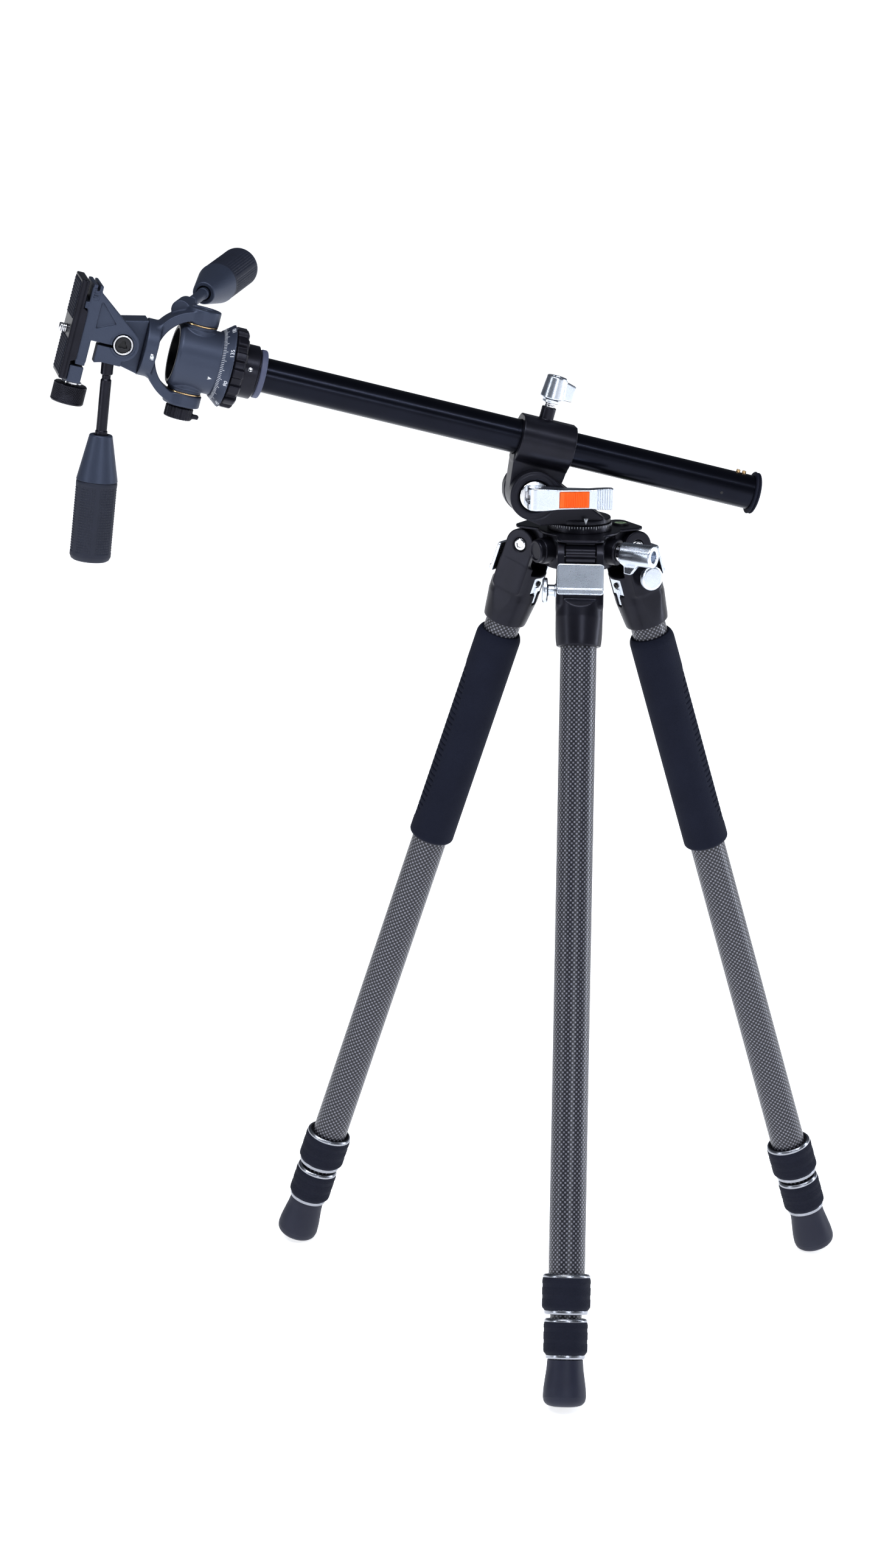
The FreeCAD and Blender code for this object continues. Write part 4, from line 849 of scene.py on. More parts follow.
def swivel_base(x, y, z):
    """A tapered band carried across, kept to the disc's footprint, less the fork's gap, the bore and the
    recess."""
    wedge = band(x, z, [(*AXLE_AT, 18), (-33, BASE_LOW, 0), (21, BASE_LOW, 0)])
    footprint = band(x, y, [(-55, 18, 0), (-55, -18, 0), (0, 0, BASE_RADIUS)])
    body = meet(meet(wedge, slab(y, -18, 18), ease=0.5), footprint, ease=0.5)
    foot = meet(np.hypot(x, y) - BASE_RADIUS, slab(z, BASE_LOW, BASE_LOW + FOOT_THICK), ease=0.5)
    gap = meet(disc(x, z, 33, AXLE_AT), slab(y, -9, 9), BASE_LOW + FOOT_THICK - z, ease=0.4)
    recess = meet(disc(x, z, 11.3, AXLE_AT), y + 15, ease=0.2)
    bevel = meet(disc(x, z, 12.6, AXLE_AT) + 0.9 * (y + 18), y + 16.5, ease=0.2)
    groove = meet(np.abs(disc(x, z, 16.6, AXLE_AT)) - 0.35, y + 17.6, ease=0.15)
    bore = np.hypot(x, y) - ROUND_BORE
    return less(join(body, foot, ease=0.4), gap, recess, bevel, groove, bore, ease=0.4)


piece("swivel_body", [cast(swivel_base, (-57, -23.5, 19), (24, 23.5, 61), 0.68)], swivel, black, "swivel",
      ["swivel_base"], weigh=False)
arrow = slips([(-1.7, 2.4), (0, -2.4), (1.7, 2.4), (0, 1.3)], np.array([[0, -22.52, 23.2]]),
              np.array([[1.0, 0, 0]]), np.array([[0, 0.0, 1.0]]), np.array([[0, -1.0, 0]]))
piece("swivel_arrow", [arrow], swivel, ink, "swivel", weigh=False)

# ---- Knuckle axle ----
# A chromed eye bolt runs through the fork: a washer in the recess on the lever's side, an eye that the
# lever's cam pin passes through, and a domed nut on the far side.

washer = lathe([(0.1, 15.0), (11.0, 15.0), (11.0, 17.6), (10.4, 18.2), (7.2, 18.3), (6.6, 17.6), (2.5, 17.4),
                (2.5, 24.0), (0.1, 24.0)], 96, 0.3)
nut = lathe([(0.1, -18), (9.0, -18), (9.0, -20.6), (7.6, -22.0), (3.4, -22.0), (3.0, -21.2), (0.1, -21.2)],
            96, 0.4)
bolt = lathe([(0.1, -18.5), (5.0, -18.5), (5.0, 15.5), (0.1, 15.5)], 64, 0.2)
eye = lathe([(2.0, -2.7), (5.0, -2.7), (5.0, 2.7), (2.0, 2.7)], 64, 0.5, True)
cam_pin = lathe([(0.1, -7.6), (1.9, -7.6), (1.9, 7.6), (0.1, 7.6)], 32, 0.3)
across_fork = knuckle.inner((0, 0, 0), (1, 0, 0), (0, -1, 0))
lever_place = knuckle.inner((0, -26.0, 0))
piece("axle_bolt", [washer, nut, bolt], across_fork, chrome, "swivel", ["knuckle_axle"])
piece("axle_eye", [eye, cam_pin], lever_place, chrome, "swivel")

# ---- Lock lever ----
# A cam lever milled from silver anodised bar: rolled at the pivot, waisted along the blade, ribbed and
# round at the tip, with a ribbed orange grip pad pressed into its outer face.


def lever(x, y, z):
    """A band from the cam to the tip, with its height waisted along the blade and grooves milled at the tip."""
    side = band(x, y, [(0, 0, 7), (52.7, -4, 3)])
    tall = np.interp(x, [-8, 4, 16, 38, 50, 56], [8.25, 8.25, 7.2, 7.0, 8.0, 8.0])
    ends = band(x, z, [(-5, -6.25, 2), (53.2, -5.5, 2.5), (53.2, 5.5, 2.5), (-5, 6.25, 2)])
    body = meet(side, np.abs(z) - tall, ends, ease=0.7)
    ribs = meet(slab((x - 42.0) % 1.75, 1.15, 3), slab(x, 42.5, 53.5), y + 6.4, ease=0.05)  # one each 1.75
    eye_room = meet(disc(x, y, 5.4), slab(z, -3.0, 3.0), ease=0.2)
    slot = meet(slab(x, -9, 5), slab(y, -3.5, 9), slab(z, -3.0, 3.0), ease=0.2)
    pocket = meet(slab(x, 15.3, 36.8), y + 5.5, slab(z, -5.8, 5.8), ease=0.3)
    return less(body, ribs, eye_room, slot, pocket, ease=0.3)


piece("lever_body", [cast(lever, (-8.5, -8.5, -9.5), (57.5, 8.5, 9.5), 0.42)], lever_place, silver, "lever",
      ["lock_lever"], weigh=False)
orange = Finish("orange_insert")
tint = orange.noise(160.0, 3.0)
orange.shade(Base_Color=orange.mix(tint, (0.86, 0.115, 0.004), (0.98, 0.17, 0.010)),
             Roughness=0.36 + 0.15 * tint, Normal=orange.bump(orange.noise(1600.0), 0.00002, 0.3))


PAD_PITCH = 1.28


def pad(x, y, z):
    """A block whose face is milled into fine upright ribs between two plain ends."""
    ribs = 0.28 * np.clip(2.2 * np.cos((x - 26) * 2 * np.pi / PAD_PITCH), -1, 1) * (np.abs(x - 27) < 8.6)
    return meet(slab(x, 15.4, 36.7), np.maximum(-7.55 - ribs - y, y + 5.6), slab(z, -5.7, 5.7), ease=0.3)


piece("lever_pad", [cast(pad, (14.6, -8.8, -6.8), (37.5, -5, 6.8), 0.28)], lever_place, orange, "lever",
      ["lever_grip_pad"], weigh=False)

# ---- Tilt collar ----
# The collar clamps the column over a tongue that tilts in the fork. It is bored from black bar with a
# flat milled on top, where a black stem carries a silver winged screw.


def tilt_collar(x, y, z):
    """A flat-topped cylinder joined to a tongue and a stem, less the column's bore and the axle's hole."""
    ring = meet(np.hypot(x, y) - 18, x - 16.9, slab(z, -20, 20), ease=0.5)
    outline = band(x, z, [(-37, 0, 17.5), (-12.5, -20, 0.5), (-12.5, 20, 0.5)])
    tongue = meet(outline, slab(y, -8.7, 8.7), ease=0.5)
    stem = meet(disc(y, z, 5.25, (0, 3)), slab(x, 12, 26), ease=0.5)
    body = join(join(ring, tongue, ease=1.2), stem, ease=0.8)
    return less(body, np.hypot(x, y) - 12.8, disc(x, z, 5.05, (-37, 0)), ease=0.5)


piece("collar_body", [cast(tilt_collar, (-56, -19.5, -21.5), (27.5, 19.5, 21.5), 0.7)], column, black, "collar",
      ["tilt_collar"], weigh=False)


def collar_knob(x, y, z):
    """A slightly conical drum, cut to a slope across its top, joined to a thick wing."""
    drum = meet(np.hypot(x, y) - (8.75 - 0.09 * (z - 6)), slab(z, 6.4, 22.6), ease=0.9)
    outline = band(x, z, [(0, 7.6, 1), (13.4, 7.9, 1.1), (14.0, 17.5, 1.1), (3, 20.5, 1)])
    wing = meet(outline, np.abs(y) - 3.1, ease=0.9)
    foot = meet(np.hypot(x, y) - 6.2, slab(z, 3.2, 7), ease=0.4)
    return less(join(drum, wing, foot, ease=1.6), meet(np.hypot(x, y) - 3.6, 16.5 - z, ease=0.2), ease=0.6)


knob_place = Place(pin("collar_knob_turn"), -line("column_slide"), line("collar_knob_turn"))
piece("collar_knob_body", [cast(collar_knob, (-10, -10, 2.4), (16, 10, 23.8), 0.42)], knob_place, silver,
      "collar_knob", ["collar_lock_knob"], weigh=False)
neck = lathe([(0.1, 0), (3.6, 0), (3.6, 1.2), (3.0, 1.5), (3.6, 1.8), (3.6, 3.3), (0.1, 3.3)], 64, 0.15)
piece("collar_knob_neck", [neck], knob_place, chrome, "collar_knob")

# ---- Column ----
# A satin black anodised aluminium tube. A flanged rubber cap closes its tail, where two small brass pins
# stop the collar from running off, with their set screw in the side.

satin = Finish("column_satin")
draw = satin.noise(60.0, 3.0)
grain = satin.noise(2600.0, 2.0)
satin.shade(Base_Color=satin.mix(draw, (0.006, 0.007, 0.014), (0.011, 0.013, 0.024)), Metallic=0.75,
            Roughness=0.19 + 0.08 * grain + 0.04 * draw, Normal=satin.bump(grain, 0.00002, 0.3))
TAIL, TIP, COLUMN_RADIUS, COLUMN_BORE = -159, 222, 12.5, 11.0
wall = lathe([(COLUMN_BORE, TAIL), (COLUMN_RADIUS, TAIL), (COLUMN_RADIUS, TIP), (COLUMN_BORE, TIP)],
             160, 0.2, True)
piece("column_wall", [wall], column, satin, "column", ["column_tube"])
cap = lathe([(0.1, -163.4), (13.2, -163.4), (15.0, -162.6), (15.3, -161.8), (14.2, -161.2), (14.2, -160.8),
             (15.5, -160.2), (15.5, -159.4), (15.0, TAIL), (COLUMN_BORE, TAIL), (COLUMN_BORE, -150), (0.1, -150)],
            128, 0.35)
piece("column_cap", [cap], column, rubber, "column", ["column_end_cap"])
brass = turned_metal("brass", (0.62, 0.44, 0.24), (0.74, 0.54, 0.32), 0.22)
pin_body = lathe([(0.1, -1.0), (1.5, -1.0), (1.5, 1.6), (1.2, 2.0), (0.1, 2.0)], 40, 0.2)
for name, along in (("stop_pin", -150.5), ("stop_pin_rear", -146.0)):
    pin_place = column.inner((12.4, 0, along), (0, 1, 0), (1, 0, 0))
    piece(name, [pin_body], pin_place, brass, "column")
stop_screw = lathe([(0.1, 0.05), (0.6, 0.05), (0.75, 0.15), (1.1, 0.12), (1.15, -0.4), (0.1, -0.4)], 32, 0.08)
piece("stop_screw", [stop_screw], column.inner((-3.5, -12.0, -135), (1, 0, 0), (-0.28, -1, 0)), black_lip,
      "column")

# ---- Head base and pan lock ring ----
# The head's seat is pressed on the column's nose: a grey nylon ring, then a stepped black flange with a
# small steel set screw. The ring behind it has fourteen finger lobes and tightens the pan.

grey_ring = Finish("grey_ring")
mottle = grey_ring.noise(300.0, 3.0)
grey_ring.shade(Base_Color=grey_ring.mix(mottle, (0.075, 0.085, 0.145), (0.105, 0.115, 0.180)),
                Roughness=0.45 + 0.15 * mottle)
SEAT_BORE = 12.52
collar_ring = lathe([(SEAT_BORE, 0.0), (16.9, 0.0), (17.5, 0.8), (17.5, 3.7), (16.9, 4.5), (SEAT_BORE, 4.5)],
                    128, 0.5, True)
piece("seat_ring", [collar_ring], head, grey_ring, "column", ["head_base"])
flange = lathe([(SEAT_BORE, 4.5), (17.0, 4.5), (17.0, 5.6), (19.25, 6.4), (19.25, 16.2), (18.7, 16.5),
                (14.0, 16.5), (14.0, 38.5), (0.1, 38.5), (0.1, 10), (SEAT_BORE, 10)], 128, 0.3)
piece("seat_flange", [flange], head, black, "column")
set_screw = lathe([(0.1, 0.35), (0.9, 0.35), (1.0, 0.8), (1.5, 0.9), (1.7, 0.5), (1.7, -1.0), (0.1, -1.0)],
                  40, 0.15)
bearing = math.radians(-78)
screw_place = head.inner((19.2 * math.cos(bearing), 19.2 * math.sin(bearing), 12.4), (0, 0, 1),
                         (math.cos(bearing), math.sin(bearing), 0))
piece("seat_screw", [set_screw], screw_place, chrome, "column")


LOBES, LOBE_DEPTH = 14, 2.9


def lobed(turn, height, reach):
    """The radius dips between lobes, with a narrow flat-topped wave."""
    dip = np.clip(0.5 + 1.5 * np.cos(turn * LOBES), 0, 1) ** 1.5
    return reach - np.where(reach > 20, LOBE_DEPTH * dip, 0)


ring = lathe([(14.3, 16.8), (27.2, 16.8), (29.0, 18.2), (29.0, 24.8), (27.8, 26.2), (14.3, 26.2)],
             420, 0.5, True, lobed)
piece("pan_lock_body", [ring], head, black, "pan_lock", ["pan_lock_ring"])

# ---- Pan housing ----
# A die-cast drum painted blue-grey over a fine orange-peel texture. Its skirt is a cone that carries a
# white scale in degrees, and two trunnions with thin brass washers hold the yoke.

paint = Finish("gunmetal_cast")
peel = paint.noise(1500.0, 3.0)
shade = paint.noise(40.0, 3.0)
fleck = paint.noise(4200.0, 1.0)
paint.shade(Base_Color=paint.mix(shade * 0.6 + fleck * 0.4, (0.040, 0.050, 0.082), (0.066, 0.080, 0.120)),
            Metallic=0.45, Roughness=0.36 + 0.18 * peel, Normal=paint.bump(peel, 0.00009, 0.5))


CONE_WIDE, CONE_NARROW, DRUM_RADIUS = 30.0, 23.6, 22.75
TILT_LEVEL = SCALE_END + 16.8


def pan_housing(x, y, z):
    """A turned drum and its cone joined to two trunnions, less the mouth and the bores."""
    radius = np.hypot(x, y)
    girth = np.interp(z, [PAN_START, SCALE_END, SCALE_END + 0.01, PAN_END - 2.2, PAN_END],
                      [CONE_WIDE, CONE_NARROW, DRUM_RADIUS, DRUM_RADIUS, 21.0])
    drum = meet(radius - girth, slab(z, PAN_START, PAN_END), ease=0.5)
    trunnion = meet(disc(y, z, 12.0, (0, TILT_LEVEL)), np.abs(x) - 24.3, ease=0.6)
    skirt = meet(disc(y, z, 13.4, (0, TILT_LEVEL)), np.abs(x) - 22.0, ease=0.4)
    body = join(drum, np.minimum(trunnion, skirt), ease=0.6)
    mouth = meet(radius - 18.5, PAN_END - 7 - z, ease=0.4)
    return less(body, mouth, np.maximum(radius - 14.1, z - 39), ease=0.4)


piece("pan_drum", [cast(pan_housing, (-31, -31, 25.8), (31, 31, 67), 0.7)], head, paint, "pan",
      ["pan_housing"], weigh=False)
mouth = lathe([(18.45, PAN_END + 0.05), (20.6, PAN_END + 0.25), (21.2, PAN_END - 0.6), (18.45, PAN_END - 6.9)],
              160, 0.15, True)
piece("pan_mouth_ring", [mouth], head, black_lip, "pan")
washer = lathe([(5.2, 24.32), (12.4, 24.32), (12.4, 25.1), (5.2, 25.1)], 96, 0.1, True)
for side, sign in (("upper", 1), ("lower", -1)):
    piece(f"{side}_trunnion_washer", [washer], head.inner((0, 0, TILT_LEVEL), (0, 0, 1), (sign, 0, 0)), brass,
          "pan")
axle_finish = turned_metal("axle_steel", (0.22, 0.22, 0.24), (0.34, 0.34, 0.37), 0.25)
frame["nodes"]["tilt_axle"].data.materials.clear()
frame["nodes"]["tilt_axle"].data.materials.append(axle_finish.material)

CONE = math.atan2(CONE_WIDE - CONE_NARROW, SCALE_END - PAN_START)
slant = math.hypot(CONE_WIDE - CONE_NARROW, SCALE_END - PAN_START)


def cone_spot(turn, up, proud=0.05):
    """A place on the scale cone: its X round the drum, its Y up the slope, its Z outwards."""
    radius, height = CONE_WIDE - up * math.sin(CONE), PAN_START + up * math.cos(CONE)
    c, s = math.cos(turn), math.sin(turn)
    outward = np.array([c * math.cos(CONE), s * math.cos(CONE), math.sin(CONE)])
    return head.inner(np.array([radius * c, radius * s, height]) + proud * outward, (-s, c, 0), outward)


tick_top = slant - 0.4
ticks = round_scale(120, CONE_WIDE - tick_top * math.sin(CONE), PAN_START + tick_top * math.cos(CONE),
                    -4.0, -2.5, 5, 0.30, CONE)
piece("pan_scale_marks", ticks, head, ink, "pan", weigh=False)
NUMBER_SIZE, FIRST_NUMBER = 4.3, -198.0


def number(label, degrees, turn):
    """A number printed on the cone: a filled text curve made a mesh, then bent round by its place."""
    curve = bpy.data.curves.new(label, "FONT")
    curve.body, curve.size, curve.align_x, curve.align_y = str(degrees), NUMBER_SIZE, "CENTER", "CENTER"
    curve.extrude = 0.05
    word = bpy.data.objects.new(label, curve)
    mesh = bpy.data.meshes.new_from_object(word)
    spots = np.zeros(len(mesh.vertices) * 3)
    mesh.vertices.foreach_get("co", spots)
    spots = spots.reshape(-1, 3)
    spots[:, 2] -= spots[:, 0] ** 2 / (2 * 29.0)
    mesh.vertices.foreach_set("co", cone_spot(turn, 2.4).put(spots).ravel().astype(np.float32))
    mesh.materials.clear()
    mesh.materials.append(ink.material)
    item = bpy.data.objects.new(label, mesh)
    bpy.context.scene.collection.objects.link(item)
    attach(item, "pan")


for degrees in range(0, 360, 45):
    number(f"pan_number_{degrees}", degrees, math.radians(FIRST_NUMBER + degrees))
point = [(-1.3, 1.7), (0, -1.7), (1.3, 1.7), (0, 0.9)]
bearing = math.radians(-112)
out = np.array([[math.cos(bearing), math.sin(bearing), 0]])
arrow = slips(point, out * 22.77 + [0, 0, SCALE_END + 4.4], np.array([[-out[0, 1], out[0, 0], 0]]),
              np.array([[0, 0, 1.0]]), out)
piece("pan_arrow", [arrow], head, ink, "pan", weigh=False)

# ---- Tilt yoke ----
# A die-cast C that reaches from one trunnion round the drum's mouth to the other. Both ends are round
# pads, the upper one dished, its back is a flange, and a split boss on its shoulder holds a handle.

INNER, OUTER, PAD_FACE, FLANGE_END, AXLE_BORE = 27.7, 34.5, 25.2, 37.0, 5.05
RISE, SET, BOSS_BORE = 31.0, 16.6, 4.45
TILT_WAY = line("tilt_handle_twist") @ tilting.axes.T


def tilt_yoke(x, y, z):
    """A C-shaped band joined to its flange, boss and pads, less the drum's room, the dish and the bores."""
    bow = meet(np.hypot(x, z) - OUTER, np.abs(y) - 11, -z, ease=1.0)
    flange = meet(np.hypot(x, y) - 20.5, slab(z, 28, FLANGE_END), ease=0.5)
    ahead = (x - RISE) * TILT_WAY[0] + y * TILT_WAY[1] + (z - SET) * TILT_WAY[2]
    aside = np.sqrt(np.maximum((x - RISE) ** 2 + y ** 2 + (z - SET) ** 2 - ahead ** 2, 0))
    boss = meet(aside - 7.2, slab(ahead, 0, 15), ease=0.8)
    shell = less(join(join(bow, flange, ease=2.5), boss, ease=2.0), np.hypot(x, z) - INNER, ease=0.6)
    upper = meet(np.hypot(y, z) - 12.5, slab(x, PAD_FACE, PAD_FACE + 11), ease=1.0)
    lower = meet(np.hypot(y, z) - 13.3, slab(x, -PAD_FACE - 9, -PAD_FACE), ease=1.0)
    body = join(shell, np.minimum(upper, lower), ease=1.5)
    dish = meet(np.hypot(y, z) - 8.8, PAD_FACE + 9.9 - x, ease=0.3)
    dimple = meet(np.hypot(y, z) - 4.6, PAD_FACE + 7.6 - x, ease=0.2)
    socket = meet(aside - BOSS_BORE, 4.7 - ahead, ease=0.2)
    seam = meet(np.abs(np.hypot(x, y) - 18.6) - 0.3, FLANGE_END - 0.5 - z, ease=0.1)
    axle = meet(np.hypot(y, z) - AXLE_BORE, x - 20, ease=0.2)
    return less(body, dish, dimple, socket, seam, axle, ease=0.5)


yoke_cast = cast(tilt_yoke, (-36, -22, -14.5), (40, 22, 38.2), 0.66)
piece("yoke_body", [yoke_cast], tilting, paint, "yoke", ["tilt_yoke"], weigh=False)
tab_outline = [(-2.2, -1.4), (2.2, -1.4), (2.2, 1.4), (-2.2, 1.4)]
bearing = math.radians(-100)
out = np.array([[math.cos(bearing), math.sin(bearing), 0]])
tab = slips(tab_outline, out * 20.5 + [0, 0, 31.0], np.array([[-out[0, 1], out[0, 0], 0]]),
            np.array([[0, 0, 1.0]]), out, 0.3)
piece("yoke_tab", [tab], tilting, silver, "yoke", weigh=False)

# ---- Side tilt drum and axle ----
# The drum is bolted on the yoke's flange and holds the side-tilt axle. Its back has a turned groove and a
# shallow well, and a chromed bush with a dark socket screw ends the axle in front.

ROLL_LEVEL = 53


def tilt_drum(x, y, z):
    """A tight band from the flange's foot round the axle, carried across, less the bore and two ring grooves."""
    outline = [(-19, FLANGE_END, 0.5), (19, FLANGE_END, 0.5), (0, ROLL_LEVEL, 15.5)]
    body = meet(band(x, z, outline), slab(y, -7.7, 18), ease=0.9)
    groove = meet(np.abs(disc(x, z, 13.6, (0, ROLL_LEVEL))) - 0.4, 17.2 - y, ease=0.1)
    back = meet(disc(x, z, 8.0, (0, ROLL_LEVEL)), 16.6 - y, ease=0.3)
    return less(body, disc(x, z, AXLE_BORE, (0, ROLL_LEVEL)), groove, back, z - FLANGE_END, ease=0.4)


piece("drum_body", [cast(tilt_drum, (-21.5, -9, 35.8), (21.5, 19.3, 70), 0.6)], tilting, paint, "yoke",
      ["side_tilt_drum"], weigh=False)
across_roll = rolling.inner((0, 0, 0), (1, 0, 0), (0, -1, 0))
bush = lathe([(0.1, 17.0), (5.6, 17.0), (5.6, 20.6), (6.0, 21.2), (6.9, 21.2), (7.2, 20.7), (7.2, 18.1),
              (5.0, 17.9), (5.0, -18.0), (0.1, -18.0)], 96, 0.15)
piece("axle_bush", [bush], across_roll, chrome, "yoke", ["side_tilt_axle"])


def tri_socket(x, y, z):
    """A plug in the bush with a three-lobed socket sunk in it."""
    turn = np.arctan2(y, x)
    lobes = np.hypot(x, y) - (2.6 + 0.7 * np.cos(3 * turn))
    plug = meet(np.hypot(x, y) - 5.45, slab(z, 17.2, 20.5), ease=0.2)
    return less(plug, meet(lobes, 18.4 - z, ease=0.1), ease=0.2)


piece("axle_socket", [cast(tri_socket, (-6, -6, 16.6), (6, 6, 21), 0.3)], across_roll, black_lip, "yoke",
      weigh=False)
mark = slips([(-1.5, -1.3), (1.5, -1.3), (0, 1.5)], np.array([[2.0, -7.72, -11.0]]),
             np.array([[1.0, 0, 0]]), np.array([[0, 0, 1.0]]), np.array([[0, -1.0, 0]]))
piece("drum_mark", [mark], rolling, ink, "yoke", weigh=False)

# ---- Tilt lock knob ----
# A black winged knob under the lower pad clamps the front tilt. Its rim is ribbed and its wing leans back
# towards the column.


def tilt_knob(x, y, z):
    """A ribbed drum joined to a wing, less the axle's bore."""
    turn = np.arctan2(y, x)
    drum = meet(np.hypot(x, y) - (9.8 - 0.25 * np.cos(turn * 24)), slab(z, 1.0, 9.5), ease=0.7)
    neck = meet(np.hypot(x, y) - 8.0, slab(z, 0.0, 3.0), ease=0.3)
    outline = band(x, z, [(0, 6, 1), (13.8, 5.8, 1), (13.8, 6.9, 0.8), (2, 7.4, 1)])
    wing = meet(outline, np.abs(y) - 2.6, ease=0.8)
    return less(join(np.minimum(drum, neck), wing, ease=1.5), meet(np.hypot(x, y) - 5.1, z - 7.4, ease=0.2),
                meet(np.hypot(x, y) - 6.4, 8.7 - z, ease=0.2), ease=0.3)


tilt_knob_place = Place(pin("tilt_knob_turn"), -line("column_slide"), line("tilt_knob_turn"))
piece("tilt_knob_body", [cast(tilt_knob, (-11, -11, -0.8), (16, 11, 10.5), 0.42)], tilt_knob_place, black,
      "tilt_knob", ["tilt_lock_knob"], weigh=False)

# ---- Clamp body ----
# One casting carries the camera: a lug on the side-tilt axle, a gusset with a three-sided pocket, a split
# block that grips the handle's rod, and a deck with a dovetail for the plate.

SLIT, DECK_HALF = (-3.9, -2.1), 20
ROOT_DROP, ROD_BORE = 9.2, 4.45
root_lean = math.radians(9)


def clamp_body(x, y, z):
    """A band over the lug and gusset joined to the block and the deck, less the slit, pocket, bores and
    socket."""
    gusset = meet(band(x, z, [(34, 26, 0.5), (34, 30, 0.5), (-18, 30, 0.5), (-18, 23, 0.5), (0, 0, 11.7)]),
                  slab(y, -20, -8), ease=0.7)
    block = meet(slab(x, -15.6, 0), slab(y, -20, -8), slab(z, -2, 17.5), ease=0.8)
    arm = less(np.minimum(gusset, block), meet(slab(x, *SLIT), -z, z - 23, ease=0.1),
               meet(x + 3, slab(z, 17.5, 23), ease=0.6), ease=0.4)
    deck = meet(slab(x, -21, 37), np.abs(y) - DECK_HALF, slab(z, 23, 30), ease=0.7)
    rail = meet(slab(x, 19, 24), np.abs(y) - DECK_HALF, slab(z, 28, 33.2), ease=0.5)
    body = join(arm, np.minimum(deck, rail), ease=0.8)
    pocket = meet(band(x, z, [(13.2, 9.4, 0.8), (25.0, 20.8, 0.8), (8.0, 20.8, 0.8)]),
                  14.2 - np.hypot(x, z), y + 18.4, ease=0.3)
    ring = meet(np.abs(np.hypot(x, z) - 9.0) - 0.25, y + 19.6, ease=0.1)
    along = -(x * math.cos(root_lean) + (z - ROOT_DROP) * math.sin(root_lean))
    aside = np.hypot(y + 14, -x * math.sin(root_lean) + (z - ROOT_DROP) * math.cos(root_lean))
    socket = meet(aside - ROD_BORE, 5.3 - along, ease=0.2)
    notch = meet(slab(x, 33, 40), slab(z, 25.4, 27.0), np.abs(y) - 30, ease=0.3)
    ribs = meet(slab((x % 1.6), 0.5, 1.6), slab(x, 26.5, 35.5), y + 19.5, slab(z, 24.6, 28.6), ease=0.1)
    return less(body, pocket, ring, socket, notch, ribs, np.hypot(x, z) - AXLE_BORE,
                meet(np.hypot(x, z) - 7.5, y + 17.7, ease=0.1), ease=0.4)


piece("clamp_casting", [cast(clamp_body, (-22.2, -21.2, -13), (38.4, 21.2, 34.4), 0.66)], rolling, paint, "clamp",
      ["clamp_body"], weigh=False)


def jaw(x, y, z):
    """A bar with eased edges, less the shaft's hole."""
    bar = meet(slab(x, -34.2, -22.2), np.abs(y) - DECK_HALF, slab(z, 23, 33.2), ease=0.8)
    hole = disc(y, z, 3.3, (0, 26.5))
    return less(bar, hole, ease=0.4)


piece("jaw_casting", [cast(jaw, (-35.4, -21.2, 21.8), (-21, 21.2, 34.4), 0.6)], rolling, paint, "jaw",
      ["clamp_jaw"], weigh=False)

# ---- Clamp knob ----
# A black knob with a diamond knurl and a polished rim turns the screw that draws the jaw up.


KNURL_ROUND, KNURL_RISE, KNURL_DEPTH = 21, 1.9, 0.26


def knurl(turn, height, radius):
    """Two crossed helical waves cut into the wall between the plain ends."""
    waves = sum(np.abs(np.sin(KNURL_ROUND * turn + sign * KNURL_RISE * height)) for sign in (1, -1))
    return radius - KNURL_DEPTH * np.where((radius > 11.9) & (height > 4.6) & (height < 15.6), 2 - waves, 0)


heights = np.linspace(4.5, 15.7, 56)
knob_wall = [(0.1, 3.2), (11.0, 3.2), (12.0, 4.1), *[(12.0, h) for h in heights], (12.0, 16.2), (11.2, 17.2),
             (5.0, 17.2), (4.6, 16.4), (0.1, 16.4)]
knob_body = lathe(knob_wall, 336, 0, False, knurl)
clamp_knob_place = Place(pin("clamp_knob_turn"), line("column_slide"), line("clamp_knob_turn"))
piece("clamp_knob_body", [knob_body], clamp_knob_place, black, "clamp_knob", ["clamp_knob"])
shaft = lathe([(0.1, -13.2), (2.6, -13.2), (3.0, -12.8), (3.0, 3.3), (0.1, 3.3)], 48, 0.15)
collar = lathe([(3.0, 1.4), (7.4, 1.4), (7.4, 3.1), (3.0, 3.1)], 96, 0.3, True)
piece("clamp_knob_shaft", [shaft, collar], clamp_knob_place, chrome, "clamp_knob")

# ---- Camera plate ----
# A black anodised plate that slides into the dovetail. Its face has a ribbed rubber pad on each side of
# the screw, and a groove runs along its two ends.


PLATE_HALF, PLATE_UNDER, PLATE_TOP = 21, 33.3, 39.0


def camera_plate(x, y, z):
    """A thick plate on a narrower foot, less the screw's hole, its head's pocket and the grooves in its ends."""
    top = meet(slab(x, -33, 38.5), np.abs(y) - PLATE_HALF, slab(z, PLATE_UNDER, PLATE_TOP), ease=0.9)
    draft = 0.5 * (PLATE_UNDER - z)
    foot = meet(slab(x, -19.5 + draft, 19 - draft), np.abs(y) - PLATE_HALF, slab(z, 30, 34), ease=0.3)
    groove = meet(slab(z, 35.4, 36.2), 20.5 - np.abs(y), ease=0.2)
    return less(np.minimum(top, foot), meet(np.hypot(x, y) - 3.3, 29 - z, ease=0.1),
                meet(np.hypot(x, y) - 7.3, z - 32.7, ease=0.2), groove, ease=0.4)


piece("plate_body", [cast(camera_plate, (-34.2, -22.2, 28.8), (39.7, 22.2, 40), 0.7)], rolling, black, "clamp",
      ["camera_plate"], weigh=False)


def pads(x, y, z):
    """Two rubber pads with fine grooves across them, on each side of the screw."""
    sheet = meet(slab(np.abs(x - 2.75), 7.0, 33.5), np.abs(y) - 18.6, slab(z, 38.6, 39.6), ease=0.3)
    grooves = meet(slab((x - 2.75) % 2.2, 1.5, 2.4), 39.25 - z, ease=0.1)
    return less(sheet, grooves, ease=0.1)


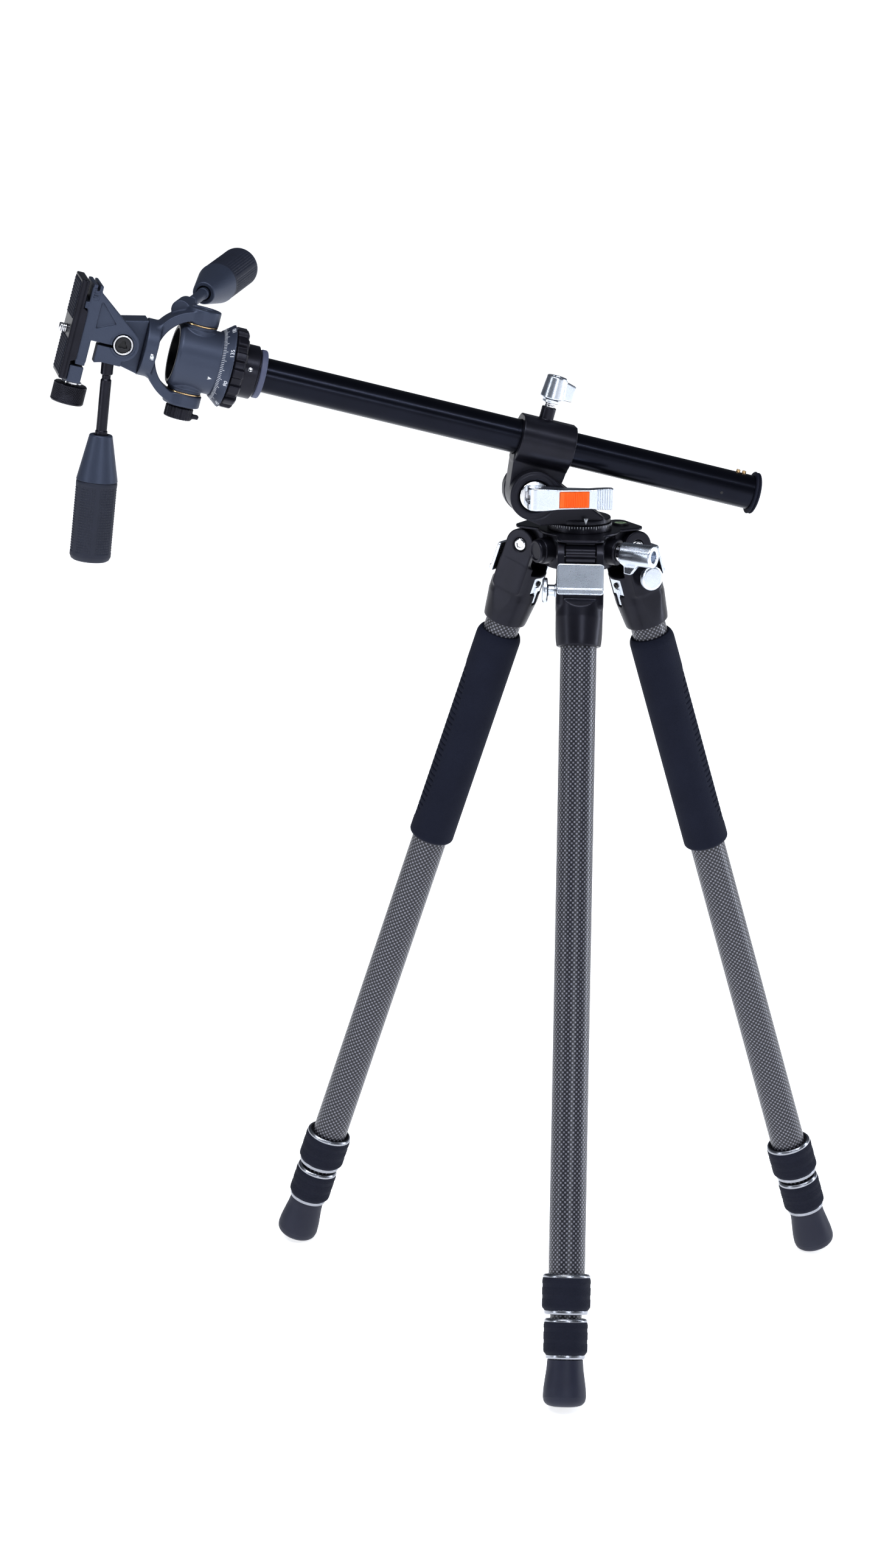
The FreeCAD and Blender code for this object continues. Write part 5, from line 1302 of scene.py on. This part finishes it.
piece("plate_pads", [cast(pads, (-32, -19.8, 38.0), (37.5, 19.8, 40.2), 0.55)], rolling, rubber, "clamp",
      weigh=False)


THREAD_RADIUS, THREAD_PITCH, THREAD_DEPTH = 3.175, 1.27, 0.45


def thread(turn, height, radius):
    """A helical wave of one turn in each pitch on the part that stands out of the plate."""
    wave = 0.5 + 0.5 * np.cos(turn - 2 * np.pi * height / THREAD_PITCH)
    return radius - np.where((radius > 3.1) & (height > 39.7), THREAD_DEPTH * wave, 0)


crest = np.linspace(39.75, 43.9, 68)
screw = lathe([(0.1, 30.1), (6.6, 30.1), (7.0, 30.5), (7.0, 32.4), (2.6, 32.4), (2.6, 39.4),
               (THREAD_RADIUS, 39.6), *[(THREAD_RADIUS, h) for h in crest], (2.6, 44.6), (0.1, 44.6)],
              64, 0, False, thread)
piece("camera_screw_body", [screw], rolling, chrome, "camera_screw", ["camera_screw"])

# ---- Pan handles ----
# Two alike handles screw into the side-tilt block and the yoke's boss. Each has a stepped rod, a conical
# gunmetal ferrule and a rubber grip whose panels of fine pyramids lie between plain strips.

grip_rubber = Finish("handle_rubber")
bloom = grip_rubber.noise(60.0, 3.0)
pore = grip_rubber.noise(1800.0, 3.0)
grip_rubber.shade(Base_Color=grip_rubber.mix(bloom, (0.010, 0.013, 0.026), (0.018, 0.022, 0.042)),
                  Roughness=0.50 + 0.2 * pore, Normal=grip_rubber.bump(pore, 0.00005, 0.4))
CONE_LENGTH, GRIP_END, SLEEVE_RADIUS = 33.0, 90.7, 14.7
PYRAMIDS_ROUND, PYRAMID_HEIGHT, PYRAMID_DEPTH = 24, 1.9, 0.55


def pyramids(turn, height, radius):
    """Crossed rows of pyramids on six panels, nought on the strips between them and at the ends."""
    panel = np.clip(6 * (np.abs(np.sin(3 * turn)) - 0.28), 0, 1)
    span = np.clip(1.2 * np.minimum(height - CONE_LENGTH - 3, GRIP_END - 6 - height), 0, 1)
    points = np.minimum(np.abs(np.sin(PYRAMIDS_ROUND * turn)), np.abs(np.sin(np.pi * height / PYRAMID_HEIGHT)))
    return radius - PYRAMID_DEPTH * panel * span * (1 - points) * (radius > 14)


def handle(name, place, start, end, body, rod_finish):
    """A rod from its seat to the grip, a ferrule and a grip, along Z of the place."""
    rod = lathe([(0.1, start - 10), (4.4, start - 10), (4.4, start + 8), (3.1, start + 9), (3.1, start + 11.5),
                 (3.9, start + 12.5), (3.9, end - 3), (4.4, end - 2.5), (4.4, end + 26), (0.1, end + 26)], 64, 0.3)
    piece(f"{name}_stem", [rod], place, rod_finish, body, [f"{name}_rod"])
    tip = place.inner((0, 0, end))
    ferrule = lathe([(5.2, 0.6), (5.6, 0.0), (7.7, 0.0), (8.3, 0.7), (14.55, CONE_LENGTH - 1.4),
                     (14.85, CONE_LENGTH), (13.0, CONE_LENGTH), (5.0, 8.0)], 128, 0.4, True)
    piece(f"{name}_ferrule", [ferrule], tip, paint, body)
    rows = np.linspace(CONE_LENGTH + 1.6, GRIP_END - 4.2, 150)
    sleeve = lathe([(5.0, CONE_LENGTH - 2), (13.4, CONE_LENGTH - 0.2), (14.4, CONE_LENGTH + 0.2),
                    (14.6, CONE_LENGTH + 1.2), *[(SLEEVE_RADIUS, h) for h in rows],
                    (SLEEVE_RADIUS, GRIP_END - 3.4), (13.6, GRIP_END - 1.0), (12.0, GRIP_END),
                    (0.1, GRIP_END), (0.1, 30)], 288, 0, False, pyramids)
    piece(f"{name}_sleeve", [sleeve], tip, grip_rubber, body, [f"{name}_grip"])


side_root = rolling.inner((0, -14.0, ROOT_DROP), (0, 1, 0), (-math.cos(root_lean), 0, -math.sin(root_lean)))
handle("side_handle", side_root, 15.6, 67.1, "side_handle", black)
tilt_root = tilting.inner((RISE, 0, SET), (1, 0, 0), TILT_WAY)
handle("tilt_handle", tilt_root, 15.0, 55.0, "tilt_handle", paint)
